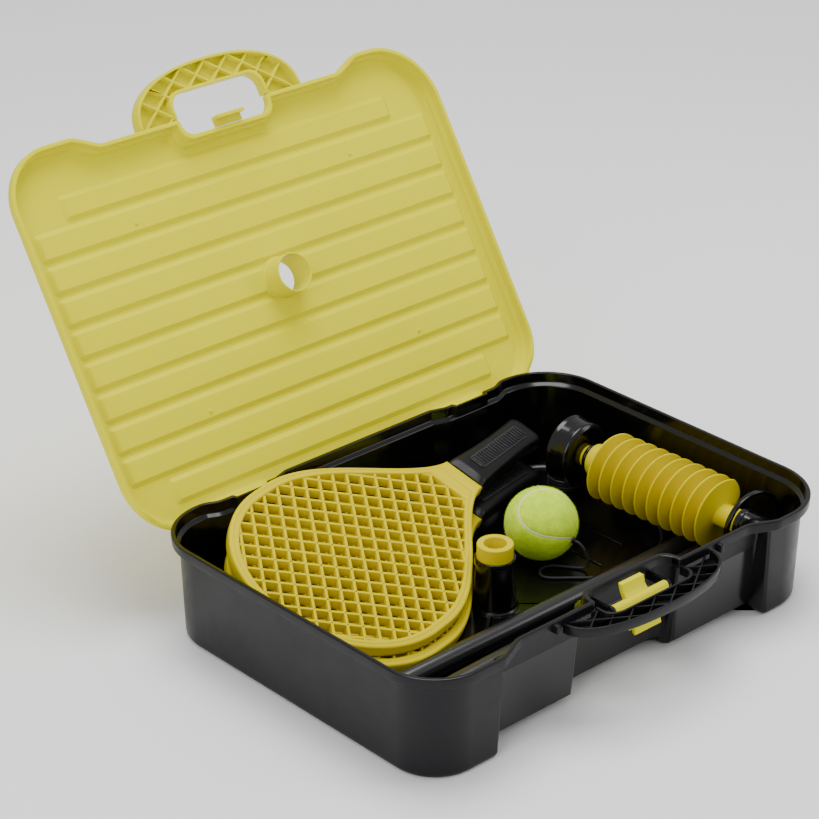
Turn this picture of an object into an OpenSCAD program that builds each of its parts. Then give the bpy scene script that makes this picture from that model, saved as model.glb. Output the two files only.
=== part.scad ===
// Tether tennis set packed in its open carry case.
// Frame: origin on the table under the pole socket, +X to the right, -Y to the handle, +Z up.

/* [Case outline] */
// Half width of the case at its rim
case_x = 238; // [228:1:260]
// Distance from the socket to the front towers
tower_y = 176; // [172:1:190]
// How far the front wall lies behind the towers
front_recess = 12; // [8:1:16]
// Half width of the recessed front wall
recess_x = 133; // [125:1:145]
// Length of the curve from the recess to a tower
tower_step = 27; // [20:1:36]
// How far the finger notch goes in behind the front wall
notch_depth = 16; // [8:1:17]
// Half width of the finger notch
notch_x = 44; // [36:1:50]
// Length of the slanted side of the finger notch
notch_side = 9; // [6:1:14]
// Distance from the socket to the back wall
back_y = 174; // [172:1:180]
// How far the wall is set in at each hinge
hinge_recess = 5; // [4:1:6]
// Radius of the corners, seen from above
corner_r = 45; // [36:1:52]

/* [Case walls] */
// Height of the base at its rim
base_h = 96; // [90:1:110]
// Height of the closed lid above the rim
lid_h = 18; // [16:1:24]
// Height of the lip band round the rim
lip_h = 10; // [8:1:12]
// How far the lip stands out from the wall
lip_out = 5.5; // [4:0.5:6]
// Draft of the wall from the lip down to the floor
draft = 3.5; // [1:0.5:5]
// Wall thickness
wall = 2.8; // [2.4:0.1:3.4]
// Floor thickness
floor_t = 3; // [2.5:0.5:4]
// Radius of the bottom edge
bottom_r = 8; // [6:1:9]
// Height of the raised bottom edge between the towers
kick_h = 10; // [8:1:12]
// Depth of the raised bottom edge between the towers
kick_y = 18; // [10:1:20]
// Thickness of the lid's roof
roof_t = 2.6; // [2:0.1:3]
// Gap between the closed lid and the rim
lid_gap = 0.3; // [0.2:0.1:1]
// Extra gap at the back of the lid, which lets it swing
lid_relief = 3; // [3:0.5:4]
// How far the lid's front lies behind the base's
lid_setback = 5; // [4:0.5:6]

/* [Lid] */
// Opening angle of the lid
lid_open = 122.6; // [100:0.2:126]
// Number of long panels inside the lid
panel_count = 8; // [6:1:8]
// Spacing of the long panels
panel_pitch = 28.7; // [26:0.1:28.8]
// Half length of the long panels
panel_x = 196; // [150:1:200]
// Width of a panel at the roof
panel_w = 23.7; // [18:0.1:24.5]
// Height of a panel above the grooves beside it
panel_d = 2; // [1.5:0.1:2.6]
// Outer radius of the collar in the lid
collar_r = 16.5; // [16:0.5:20]
// Radius of the hole through the collar
collar_bore_r = 14; // [12:0.5:14.5]
// Depth of the collar below the roof
collar_h = 25; // [15:1:30]

/* [Hinges] */
// Distance of each hinge from the middle
hinge_x = 128; // [124:1:132]
// Radius of a hinge pin
pin_r = 1.5; // [1.2:0.1:1.8]
// Radius of a hinge knuckle
knuckle_r = 3; // [2.6:0.1:3]
// Length of the lid's knuckle
lug_w = 10.6; // [8:0.2:12]
// Length of each knuckle on the base
seat_w = 9; // [6:0.5:10]
// Clearance between neighbouring knuckles
knuckle_gap = 0.4; // [0.2:0.1:0.6]
// Distance from the socket to the hinge axis
hinge_y = 167.05; // [167.05:0.05:168]
// Height of the hinge axis
hinge_z = 88.55; // [87.5:0.05:89]

/* [Handle and latch] */
// Half length of the handle
handle_x = 90; // [80:1:100]
// How far the handle stands out from the front wall
handle_out = 47; // [40:1:55]
// Half length of the finger hole
hole_x = 50; // [44:1:54]
// Width of the handle's bar
bar_w = 24.5; // [20:0.5:27]
// Height of each handle half
handle_h = 11.5; // [9:0.5:13]
// Thickness of the handle's edges and ribs
handle_wall = 2.4; // [2:0.1:3]
// Half length of the latch's cross bar
latch_x = 30.5; // [24:0.5:34]
// Radius of the latch's cross bar
latch_r = 4; // [3:0.5:5]
// Distance of the latch axis from the socket
latch_y = 165; // [163:0.5:167]
// Height of the latch axis
latch_z = 81; // [78:0.5:82]
// Width of the latch's hook
hook_w = 25; // [18:1:30]
// Width of the latch's thumb tab
tab_w = 33; // [26:1:40]
// Thickness of the latch's walls
latch_t = 3; // [2:0.5:3]

/* [Pole socket] */
// Height of the pillar's flange above the table
pillar_h = 50; // [46:1:56]
// Radius of the pillar under its flange
pillar_r = 16.5; // [16.4:0.1:17]
// Radius of the pillar at the floor
pillar_foot_r = 19.2; // [18.5:0.1:19.2]
// Radius of the pillar's flange
flange_r = 17.8; // [17.2:0.1:17.8]
// Radius of the socket insert
socket_r = 15.75; // [14:0.25:15.75]
// How far the insert stands above the flange
socket_up = 13; // [8:1:20]
// Radius of the hole that takes the pole
socket_bore_r = 9.9; // [9.7:0.1:11]
// Length of the hole that takes the pole
socket_bore_l = 55; // [30:1:55]

/* [Poles] */
// Radius of a pole section
pole_r = 9.5; // [8:0.1:9.6]
// Wall of a pole section
pole_wall = 1.2; // [0.8:0.1:2]
// Length of a pole section without its spigot
pole_l = 400; // [300:1:402]
// Length of a spigot
spigot_l = 36; // [20:1:38]

/* [Helix] */
// Radius of the screw's turns
flight_r = 32.4; // [30:0.1:32.5]
// Radius of the screw's core
core_r = 15; // [13:0.5:18]
// Distance between neighbouring turns
pitch = 13.7; // [12:0.1:13.8]
// Number of turns
turns = 9.75; // [6:0.25:9.75]
// Thickness of a turn at its edge
flight_t = 1.8; // [1:0.1:2.4]
// Thickness of a turn at the core
flight_root = 3.4; // [2.4:0.1:4]
// Radius of the plain shaft under the screw
shaft_r = 10.5; // [10:0.5:12]
// Radius of the hole that takes a pole's spigot
helix_bore_r = 8.2; // [8.1:0.1:9]
// Length of the hole that takes a pole's spigot
helix_bore_l = 42; // [30:1:42]
// Radius of the bell cap's mouth
cap_r = 32; // [28:0.5:32.5]
// Length of the bell cap
cap_l = 22.5; // [18:0.5:30]
// Outer radius of the tether ring
ring_r = 32; // [28:0.1:32]
// Thickness of the tether ring
ring_t = 3; // [2:0.1:4]
// Width of the tether ring
ring_w = 5; // [3:0.5:7]

/* [Bats] */
// Radius of a bat's head
head_r = 101; // [96:1:101]
// Distance from the throat to the middle of the head's round end
head_s = 185; // [176:1:186]
// Half width of the throat
throat_w = 20; // [18:0.5:21]
// Thickness of the bat's rim
rim_t = 11.5; // [9:0.1:11.5]
// Width of the bat's rim
rim_w = 9; // [6:0.5:11]
// Thickness of the grid
grid_t = 8; // [4:0.5:8]
// Spacing of the grid's ribs
grid_pitch = 13.3; // [12:0.1:20]
// Width of a rib of the grid
grid_rib = 3; // [2:0.1:4]
// Length of the grip
grip_l = 105; // [90:1:106]
// Half width of the grip
grip_w = 17; // [15:0.5:17.5]
// Thickness of the grip
grip_t = 18; // [14:0.5:18]
// Number of cross ribs on the grip
grip_ribs = 20; // [10:1:24]

/* [Ball and tether] */
// Radius of the ball
ball_r = 33; // [32:0.1:33.4]
// Thickness of the felt
felt_t = 3; // [2:0.1:4]
// Diameter of the tether
cord_d = 2.5; // [2:0.1:2.6]
// Turns in each layer of the stored coil
coil_turns = 3; // [2:1:3]
// Layers in the stored coil
coil_layers = 4; // [2:2:4]
// Radius of the coil's largest turn
coil_r = 17; // [14:0.5:17]

/* [Hidden] */
$fn = 64;

// Colours
black_abs = "#2B2C31";
lemon_abs = "#F2E600";
amber_abs = "#FADC00";
felt_green = "#D4F23A";
steel_black = "#45474D";

// Clearances
seat_gap = 0.3;     // between pieces that rest on each other
pin_gap = 0.04;     // round a pin in its hole
insert_gap = 0.1;   // round the socket insert

// Small details of the case
rim_round = 1;
step_in = 0.6;          // how much the inner lip wall leans
pocket_wall = 2.2;      // wall behind a hinge
pocket_top = 84.5;      // a hinge pocket starts above this height
notch_y = tower_y - front_recess - notch_depth;
front_y = tower_y - front_recess;
hinge_wall_y = back_y - hinge_recess;
lip_z = base_h - lip_h;

// Places of the contents
ball_at = [87.6, 31.7, floor_t + seat_gap + 0.1 + ball_r];
eye_dir = unit([0.244, -0.945, -0.216]);
eye_r = 3;
eye_h = 2;
pole_z = floor_t + pole_r + 0.02;
pole_places = [[0, -50.4, 0], [0, -78.3, 1.92], [0, -115.8, 0]];
helix_at = [189.3, -60, pole_z + pole_r + seat_gap / 2 + flight_r];
helix_yaw = 2.47;
flight_from = -28.6;    // where the screw starts along its axis
flight_angle = 20;      // where it starts round the axis
core_from = -20.5;
shaft_from = -48;
collar_from = shaft_from - helix_bore_l;
core_to = flight_from + pitch * turns + 15;
neck_l = 10;
cap_from = core_to + neck_l;
ring_at = [195.6, -115.7, pole_z + pole_r + 0.1 + ring_r];
ring_yaw = -5;
upper_at = [26.1, 95, 66];
upper_turn = [-21.77, 0, 193.83];
lower_at = [20.5, 89.8, 38.9];
lower_turn = [-17.69, -2.88, 193.4];
throat_u = -40;         // throat line along a bat from its placing point
taper_l = 170;          // length of the curve from throat to full width
grip_step = 3;          // how far the grip stands above the bat's face

// ---------- outlines ----------

function unit(v) = v / norm(v);
function left_of(v) = [-v[1], v[0]];
function spin(v, a) = [v[0] * cos(a) - v[1] * sin(a), v[0] * sin(a) + v[1] * cos(a)];
function flat(lists) = [for (l = lists) each l];

// Corner b between a and c, moved in by d
function moved_in(a, b, c, d) =
    let (n1 = left_of(unit(b - a)), n2 = left_of(unit(c - b)))
    b + d * (n1 + n2) / (1 + n1 * n2);

// Points of the arc that rounds corner b, n steps long
function arc_points(a, b, c, r, n) =
    n == 0 ? [b] :
    let (t1 = unit(b - a), t2 = unit(c - b),
         side = sign(cross(t1, t2)),
         bend = acos(t1 * t2),
         mid = b - t1 * r * tan(bend / 2) + side * left_of(t1) * r)
    [for (j = [0:n]) mid - side * r * spin(left_of(t1), side * bend * j / n)];

// A rounded outline; each corner is [point, radius, steps], moved in by d
function rounded(corners, d) =
    let (n = len(corners),
         p = [for (i = [0:n - 1]) moved_in(corners[(i + n - 1) % n][0], corners[i][0],
                                           corners[(i + 1) % n][0], d)])
    flat([for (i = [0:n - 1])
        let (a = p[(i + n - 1) % n], b = p[i], c = p[(i + 1) % n],
             turn = cross(b - a, c - b),
             r = turn > 0 ? max(corners[i][1] - d, 0.8) : corners[i][1] + d)
        arc_points(a, b, c, r, corners[i][2])]);

function mirrored(corners) =
    [for (i = [len(corners) - 1:-1:0])
        [[-corners[i][0][0], corners[i][0][1]], corners[i][1], corners[i][2]]];

// Right half of the case's outline from the notch to the back;
// kick moves the middle of the front in, pocket is the wall line at a hinge
function case_half(kick, pocket, setback) = [
    [[notch_x, -notch_y + kick + setback], 6, 2],
    [[notch_x + notch_side, -front_y + kick + setback], 6, 2],
    [[recess_x, -front_y + kick + setback], 14, 3],
    [[recess_x + tower_step, -tower_y + setback], 14, 3],
    [[case_x, -tower_y + setback], corner_r, 8],
    [[case_x, back_y + 1], corner_r, 8],
    [[hinge_x + 58, back_y + 1], 20, 2],
    [[hinge_x + 34, hinge_wall_y], 20, 2],
    [[hinge_x + 19, hinge_wall_y], 0, 0],
    [[hinge_x + 17, pocket], 0, 0],
    [[hinge_x - 17, pocket], 0, 0],
    [[hinge_x - 19, hinge_wall_y], 0, 0],
    [[hinge_x - 28, hinge_wall_y], 10, 2],
    [[hinge_x - 43, back_y], 10, 2]
];

function whole(half) = concat(half, mirrored(half));

function kick_at(z) = kick_y * max(0, 1 - z / kick_h);

// A ring of the base at height z, moved in by d
function base_ring(z, d, inside) =
    let (open = z > pocket_top,
         line = inside ? hinge_y - knuckle_r - 0.25 - pocket_wall
                       : hinge_y - knuckle_r - 0.25,
         pocket = open ? line + d : hinge_wall_y)
    [for (p = rounded(whole(case_half(kick_at(z), pocket, 0)), d)) [p[0], p[1], z]];

// A ring of the closed lid; its back edge is raised, which lets it swing
function lid_ring(z, d, rim) =
    [for (p = rounded(whole(case_half(0, hinge_wall_y, lid_setback)), d))
        let (lift = rim ? lid_relief * min(1, max(0, (p[1] - 148) / 10)) : 0)
        [p[0], p[1], z + lift]];

function round_ring(z, r, like) = [for (p = like) let (u = unit([p[0], p[1]])) [r * u[0], r * u[1], z]];

// Triangles between neighbouring rings of n points
function band_faces(rings, n, closed) =
    [for (k = [0:rings - (closed ? 1 : 2)], i = [0:n - 1])
        let (a = k * n + i, b = k * n + (i + 1) % n,
             c = ((k + 1) % rings) * n + (i + 1) % n, e = ((k + 1) % rings) * n + i)
        each [[a, e, b], [b, e, c]]];

function reversed(faces) = [for (f = faces) [f[0], f[2], f[1]]];

// ---------- case base ----------

// How far in the rounded bottom edge is at height z
function bottom_in(z) = low_in + bottom_r * (1 - sqrt(1 - pow(1 - z / bottom_r, 2)));

// The wall's cross section, outside and inside, from the floor up to the rim: [moved in, height]
low_in = lip_out + draft;
kick_top = max(kick_h, bottom_r + 0.5);
function lean(low, high, z, from) = low + (high - low) * (z - from) / (lip_z - 2 - from);
outside_wall = [
    for (z = [floor_t, (floor_t + bottom_r) / 2]) [bottom_in(z), z],
    for (z = [bottom_r, kick_top, lip_z - 2]) [lean(low_in, lip_out, z, bottom_r), z],
    [0.6, lip_z + 0.5], [0, base_h - rim_round], [rim_round, base_h]
];
inside_wall = [
    for (z = [floor_t, (floor_t + bottom_r) / 2, bottom_r, kick_top, lip_z - 2])
        [lean(low_in + wall + 0.4, lip_out + wall, z, floor_t), z],
    [lip_out - 1, lip_z + 0.5], [lip_out - 1.2, base_h - 2], [lip_out - 1.6, base_h]
];

// The tray's wall between two points of its outline, as one closed band
module wall_part(first, last) {
    levels = len(outside_wall);
    rings = concat([for (p = outside_wall) base_ring(p[1], p[0], false)],
                   [for (k = [levels - 1:-1:0]) base_ring(inside_wall[k][1], inside_wall[k][0], true)]);
    n = len(rings[0]);
    side = 2 * levels;
    points = [for (i = [first:last], k = [0:side - 1]) rings[k][i % n]];
    end = (last - first) * side;
    caps = [for (k = [0:levels - 2])
        let (in0 = side - 1 - k, in1 = side - 2 - k)
        each [[k, k + 1, in1], [k, in1, in0], [end + k, end + in1, end + k + 1], [end + k, end + in0, end + in1]]];
    polyhedron(points, concat(reversed(band_faces(last - first + 1, side, false)), reversed(caps)), 10);
}

// Points of the outline where the straight walls begin and end, anticlockwise from the notch
right_from = 22;
back_right_from = 23;
back_from = 47;
back_left_from = 48;
left_from = 72;
front_from = 73;
outline_points = 96;

module case_right() { color(black_abs) wall_part(right_from, back_right_from); }
module case_back_right() { color(black_abs) wall_part(back_right_from, back_from); }
module case_back() { color(black_abs) wall_part(back_from, back_left_from); }
module case_back_left() { color(black_abs) wall_part(back_left_from, left_from); }
module case_left() { color(black_abs) wall_part(left_from, front_from); }
module case_front() { color(black_abs) wall_part(front_from, outline_points + right_from); }

module case_floor() {
    rings = [for (z = [0, 0.13 * bottom_r, floor_t]) base_ring(z, bottom_in(z), false)];
    n = len(rings[0]);
    hubs = [[0, 0, 0], [0, 0, floor_t]];
    foot = [for (i = [0:n - 1]) [3 * n, i, (i + 1) % n]];
    top = [for (i = [0:n - 1]) [3 * n + 1, 2 * n + (i + 1) % n, 2 * n + i]];
    color(black_abs) polyhedron(concat(flat(rings), hubs), concat(foot, band_faces(3, n, false), top), 10);
}

// Low ridges moulded on the floor, which hold the ball and the screw apart
module floor_ribs() {
    rib_t = 2;
    rib_h = 1.2;
    color(black_abs) {
        translate([155 - rib_t / 2, -3, floor_t]) cube([rib_t, 49, rib_h]);
        translate([115 - rib_t / 2, -17, floor_t]) cube([rib_t, 37, rib_h]);
    }
}

// ---------- handle ----------

// Half depth of the handle's outline at x, a rounded curve
function handle_y(x, half, depth) = depth * pow(1 - pow(abs(x) / half, 2.3), 1 / 2.3);

function handle_outline(half, depth) =
    [for (i = [0:36]) let (x = -half * cos(i * 5)) [x, -handle_y(x, half, depth)]];

module handle_plate(in) {
    r = 14;
    difference() {
        polygon(handle_outline(handle_x - in, handle_out - in));
        translate([0, -handle_out + bar_w - in]) {
            translate([-hole_x - in, r]) square([2 * (hole_x + in), handle_out]);
            translate([-hole_x - in + r, 0]) square([2 * (hole_x + in - r), r + 1]);
            for (s = [-1, 1]) translate([s * (hole_x + in - r), r]) circle(r);
        }
    }
}

// Crossed ribs between the edges of the handle
module handle_ribs() {
    step = 26;
    for (i = [-3:3], s = [-1, 1])
        translate([i * step, -handle_out / 2]) rotate(s * 52)
            square([handle_wall / 1.6, 2 * handle_out], center = true);
}

// One half of the handle; its open side is at the top
module handle_half() {
    web = 2;
    difference() {
        linear_extrude(handle_h) handle_plate(0);
        translate([0, 0, web]) linear_extrude(handle_h) handle_plate(handle_wall);
    }
    linear_extrude(handle_h - 2) intersection() {
        handle_plate(handle_wall / 2);
        handle_ribs();
    }
}

module base_handle() {
    color(black_abs) translate([0, -front_y - seat_gap / 2, base_h - handle_h]) handle_half();
}

// ---------- pole socket ----------

module pole_pillar() {
    recess = pillar_h - 6;
    stem_r = 12.5;
    color(black_abs) difference() {
        rotate_extrude() polygon([
            [0, floor_t], [pillar_foot_r + 2.5, floor_t], [pillar_foot_r + 0.6, floor_t + 1.2],
            [pillar_foot_r - 0.3, floor_t + 3.5], [pillar_r, recess], [flange_r, recess],
            [flange_r, pillar_h - 0.6], [flange_r - 0.6, pillar_h], [0, pillar_h]
        ]);
        translate([0, 0, recess]) cylinder(r = socket_r + insert_gap, h = 7);
        translate([0, 0, floor_t + 3]) cylinder(r = stem_r + insert_gap, h = pillar_h);
    }
}

module pole_socket() {
    recess = pillar_h - 6;
    stem_r = 12.5;
    top = pillar_h + socket_up;
    color(amber_abs) difference() {
        rotate_extrude() polygon([
            [0, floor_t + 3], [stem_r, floor_t + 3], [stem_r, recess], [socket_r, recess],
            [socket_r, top - 1], [socket_r - 0.3, top - 0.3], [socket_r - 1, top], [0, top]
        ]);
        translate([0, 0, top - socket_bore_l]) cylinder(r = socket_bore_r, h = socket_bore_l + 1);
    }
}

// ---------- hinges ----------

module at_hinge(side) {
    translate([side * hinge_x, hinge_y, hinge_z]) rotate([0, 90, 0]) children();
}

// Two knuckles on the base, on a foot that stands on the pocket's wall
module hinge_seat(side) {
    reach = knuckle_r + 0.25;
    color(black_abs) difference() {
        for (s = [-1, 1])
            at_hinge(side) translate([0, 0, s * (lug_w + seat_w + 2 * knuckle_gap) / 2]) {
                cylinder(r = knuckle_r, h = seat_w, center = true);
                translate([0, -reach / 2, 0]) cube([2 * knuckle_r, reach, seat_w], center = true);
            }
        at_hinge(side) cylinder(r = pin_r + pin_gap, h = 60, center = true);
    }
}

module hinge_pin(side) {
    color("silver") at_hinge(side)
        cylinder(r = pin_r, h = lug_w + 2 * seat_w + 2 * knuckle_gap, center = true);
}

// ---------- latch ----------

module latch_ears() {
    ear_t = 3;
    back = notch_y - lip_out;
    foot_h = 2 * latch_r - 1;
    color(black_abs) difference() {
        for (s = [-1, 1])
            translate([s * (latch_x + 0.4 + ear_t / 2), 0, latch_z]) rotate([0, 90, 0]) {
                translate([0, -latch_y, 0]) cylinder(r = latch_r, h = ear_t, center = true);
                translate([0.5, -(latch_y + back) / 2, 0])
                    cube([foot_h, latch_y - back, ear_t], center = true);
            }
        translate([0, -latch_y, latch_z]) rotate([0, 90, 0])
            cylinder(r = pin_r + pin_gap, h = 100, center = true);
    }
}

module latch_pin() {
    color("silver") translate([0, -latch_y, latch_z]) rotate([0, 90, 0])
        cylinder(r = pin_r, h = 2 * latch_x + 6, center = true);
}

// Cross bar with a hook above it and a thumb tab below
module latch_hook() {
    hook_y = 9;
    hook_top = 17.5;
    tab_out = 11;
    tab_drop = 22;
    color(amber_abs) translate([0, -latch_y, latch_z]) difference() {
        union() {
            rotate([0, 90, 0]) cylinder(r = latch_r, h = 2 * latch_x, center = true);
            translate([-hook_w / 2 - 1.5, 0, 0]) rotate([90, 0, 90]) linear_extrude(hook_w)
                polygon([[-1, 0], [3.5, -2], [hook_y - 0.6, 8], [hook_y + 1.6, hook_top],
                         [hook_y - latch_t, hook_top], [hook_y - latch_t - 1.4, 9], [0, 3.4]]);
            rotate([90, 0, 90]) linear_extrude(tab_w - 10, center = true)
                polygon([[-3.4, 0], [3.4, 0], [-tab_out + latch_t, -tab_drop + 1],
                         [-tab_out + 0.6, -tab_drop], [-tab_out - 0.6, -tab_drop + 1]]);
            rotate([90, 0, 90]) linear_extrude(tab_w, center = true)
                polygon([[-3.4, 0], [3.4, 0], [-tab_out + latch_t + 1.8, -tab_drop + 6],
                         [-tab_out + 0.6, -tab_drop + 6]]);
        }
        rotate([0, 90, 0]) cylinder(r = pin_r + pin_gap, h = 100, center = true);
    }
}

// ---------- lid ----------

// Turns a piece of the closed lid to where the open lid has it
module opened() {
    translate([0, hinge_y, hinge_z]) rotate([-lid_open, 0, 0])
        translate([0, -hinge_y, -hinge_z]) children();
}

lid_top = base_h + lid_h;
roof_z = lid_top - roof_t;

module lid_shell() {
    rim_z = base_h + lid_gap;
    body = [
        lid_ring(lid_top, lip_out + 8.5, false),
        lid_ring(lid_top - 0.6, lip_out + 4.5, false),
        lid_ring(lid_top - 2.2, lip_out + 1.6, false),
        lid_ring(lid_top - 5, lip_out, false),
        lid_ring(rim_z + lip_h, lip_out - 0.8, false),
        lid_ring(rim_z + lip_h - 2, 0.5, false),
        lid_ring(rim_z + rim_round, 0, true),
        lid_ring(rim_z, 0.8, true),
        lid_ring(rim_z, 4, true),
        lid_ring(rim_z + lip_h - 2.5, 4.4, false),
        lid_ring(rim_z + lip_h - 0.5, lip_out + wall - 1, false),
        lid_ring(roof_z - 2, lip_out + wall + 1.6, false),
        lid_ring(roof_z, lip_out + wall + 5, false)
    ];
    n = len(body[0]);
    rings = concat([round_ring(lid_top, collar_bore_r, body[0])], body,
                   [round_ring(roof_z, collar_bore_r, body[0])]);
    color(lemon_abs) opened() polyhedron(flat(rings), reversed(band_faces(len(rings), n, true)), 10);
}

// A raised panel under the roof, with slanted sides and ends
module roof_panel(from, to, half) {
    slant = 0.8 * panel_d;
    translate([0, (from + to) / 2, roof_z]) intersection() {
        rotate([90, 0, 90]) linear_extrude(2 * half, center = true)
            polygon([[(from - to) / 2, 0], [(from - to) / 2 + slant, -panel_d],
                     [(to - from) / 2 - slant, -panel_d], [(to - from) / 2, 0]]);
        rotate([90, 0, 0]) linear_extrude(to - from, center = true)
            polygon([[-half, 0], [slant - half, -panel_d], [half - slant, -panel_d], [half, 0]]);
    }
}

module lid_ribs() {
    first = -89.1;
    notch_wall = -notch_y + lid_setback + lip_out + wall + 5;
    color(lemon_abs) opened() difference() {
        union() {
            for (i = [0:panel_count - 1])
                roof_panel(first + i * panel_pitch - panel_w / 2, first + i * panel_pitch + panel_w / 2, panel_x);
            roof_panel(notch_wall + 0.8, first - panel_pitch + panel_w / 2, panel_x - 76);
            roof_panel(first + panel_count * panel_pitch - panel_w / 2,
                       first + panel_count * panel_pitch + panel_w / 2, panel_x - 76);
        }
        translate([0, 0, roof_z - 10]) cylinder(r = collar_r + 0.2, h = 20);
    }
}

module lid_collar() {
    color(lemon_abs) opened() translate([0, 0, roof_z - collar_h]) difference() {
        cylinder(r = collar_r, h = collar_h);
        translate([0, 0, -1]) cylinder(r = collar_bore_r, h = collar_h + 2);
    }
}

module lid_handle() {
    color(lemon_abs) opened()
        translate([0, -front_y + lid_setback - seat_gap / 2, base_h + lid_gap + handle_h])
            rotate([0, 180, 0]) handle_half();
}

// Ribbed tab that the latch's hook holds
module lid_catch() {
    tab_h = 8;
    half = 15;
    under = base_h + lid_gap + 0.3;
    color(lemon_abs) opened() {
        translate([-half, -notch_y - 4.4, under - tab_h]) cube([2 * half, 3, tab_h + 2.4]);
        translate([-half, -notch_y - 4.4, under]) cube([2 * half, lid_setback + 4, 2.4]);
        for (i = [-2:2]) translate([i * 6 - 0.6, -notch_y - 5, under - tab_h]) cube([1.2, 0.8, tab_h]);
    }
}

// The lid's knuckle, on an arm that reaches the lid's back edge
module lid_lug(side) {
    arm_y = 167.4;
    arm_t = 2.2;
    top = base_h + lid_gap + lid_relief;
    color(lemon_abs) opened() difference() {
        union() {
            at_hinge(side) cylinder(r = knuckle_r, h = lug_w, center = true);
            translate([side * hinge_x - lug_w / 2, arm_y - arm_t, hinge_z]) cube([lug_w, arm_t, top - hinge_z]);
        }
        at_hinge(side) cylinder(r = pin_r + pin_gap, h = 60, center = true);
    }
}

// ---------- bats ----------

// Half width of the bat at distance s from its throat
function bat_w(s) =
    throat_w + (head_r - throat_w) * (1 - cos(180 * pow(min(1, s / taper_l), 0.85))) / 2;

function bat_side(in, from) =
    [for (s = [from:10:taper_l]) [s, bat_w(s) - in]];

function bat_outline(in, from) =
    let (side = bat_side(in, from),
         end = [for (a = [90:-9:-90]) [head_s + (head_r - in) * cos(a), (head_r - in) * sin(a)]])
    concat([for (p = side) [p[0], -p[1]]],
           [for (i = [len(end) - 1:-1:0]) end[i]],
           [for (i = [len(side) - 1:-1:0]) side[i]]);

module rim_solid() {
    grid_from = 28;
    translate([throat_u, 0, -rim_t]) linear_extrude(rim_t) difference() {
        polygon(bat_outline(0, 0));
        polygon(bat_outline(rim_w, grid_from));
    }
}

// Open grid of diamonds inside the rim
module grid_solid() {
    grid_from = 28;
    reach = head_s + head_r;
    hole = grid_pitch - grid_rib;
    n = ceil(reach / grid_pitch);
    translate([throat_u, 0, -(rim_t + grid_t) / 2]) linear_extrude(grid_t) difference() {
        polygon(bat_outline(rim_w + 0.1, grid_from + 0.1));
        intersection() {
            polygon(bat_outline(rim_w + 1.6, grid_from + 14));
            translate([head_s / 2 + 40, 0]) rotate(45) for (i = [-n:n], j = [-n:n])
                if (norm([i, j]) * grid_pitch < reach * 0.72)
                    translate([i * grid_pitch, j * grid_pitch]) square(hole, center = true);
        }
    }
}

// Half width and half thickness of the grip at t, from the throat (0) to its end (1)
function grip_half(t) = grip_w * (1.16 - 0.62 * t + 0.52 * t * t);
function grip_deep(t) = grip_t / 2 * (t < 0.06 ? 0.66 + 5.6 * t : 1);

module grip_solid() {
    n = 20;
    stations = [0, 0.03, 0.06, 0.3, 0.55, 0.8, 0.95, 0.985, 1];
    ends = [1, 1, 1, 1, 1, 1, 1, 0.93, 0.8];
    mid = grip_step - grip_t / 2;
    points = [for (k = [0:len(stations) - 1], i = [0:n - 1])
        let (t = stations[k], a = (i + 0.5) * 360 / n, c = cos(a), s = sin(a), e = 0.5)
        [throat_u - 0.1 - t * grip_l,
         ends[k] * grip_half(t) * sign(c) * pow(abs(c), e),
         mid + ends[k] * grip_deep(t) * sign(s) * pow(abs(s), e)]];
    count = len(stations);
    hubs = [[throat_u - 0.1, 0, mid], [throat_u - 0.1 - grip_l, 0, mid]];
    near_cap = [for (i = [0:n - 1]) [count * n, i, (i + 1) % n]];
    far_cap = [for (i = [0:n - 1]) [count * n + 1, (count - 1) * n + (i + 1) % n, (count - 1) * n + i]];
    polyhedron(concat(points, hubs), reversed(concat(near_cap, band_faces(count, n, false), far_cap)), 10);
}

// Ribbed inlay on the grip
module grip_pad_solid() {
    length = 0.72 * grip_l;
    half = grip_w * 0.42;
    step = length / grip_ribs;
    translate([throat_u - 0.16 * grip_l - length, 0, grip_step + 0.02]) {
        translate([0, -half - 1, 0]) cube([length, 2 * half + 2, 0.8]);
        for (i = [0:grip_ribs - 1])
            translate([(i + 0.25) * step, -half, 0]) cube([step / 2, 2 * half, 1.5]);
    }
}

module lower_place() { translate(lower_at) rotate(lower_turn) children(); }
module upper_place() { translate(upper_at) rotate(upper_turn) children(); }

module lower_rim() { color(amber_abs) lower_place() rim_solid(); }
module lower_grid() { color(amber_abs) lower_place() grid_solid(); }
module lower_grip() { color(black_abs) lower_place() grip_solid(); }
module lower_grip_pad() { color(black_abs) lower_place() grip_pad_solid(); }
module upper_rim() { color(amber_abs) upper_place() rim_solid(); }
module upper_grid() { color(amber_abs) upper_place() grid_solid(); }
module upper_grip() { color(black_abs) upper_place() grip_solid(); }
module upper_grip_pad() { color(black_abs) upper_place() grip_pad_solid(); }

// ---------- ball ----------

module ball_core() {
    color("dimgray") translate(ball_at) sphere(r = ball_r - felt_t - 0.05);
}

module ball_felt() {
    color(felt_green) translate(ball_at) difference() {
        sphere(r = ball_r);
        sphere(r = ball_r - felt_t);
    }
}

// Moulded button that ties the tether to the ball
module ball_eye() {
    lean = acos(eye_dir[2]);
    way = atan2(eye_dir[1], eye_dir[0]);
    color(black_abs) translate(ball_at) rotate([0, lean, way])
        difference() {
            cylinder(r = eye_r, h = ball_r + eye_h);
            sphere(r = ball_r + 0.02);
        }
}

// ---------- poles ----------

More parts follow.
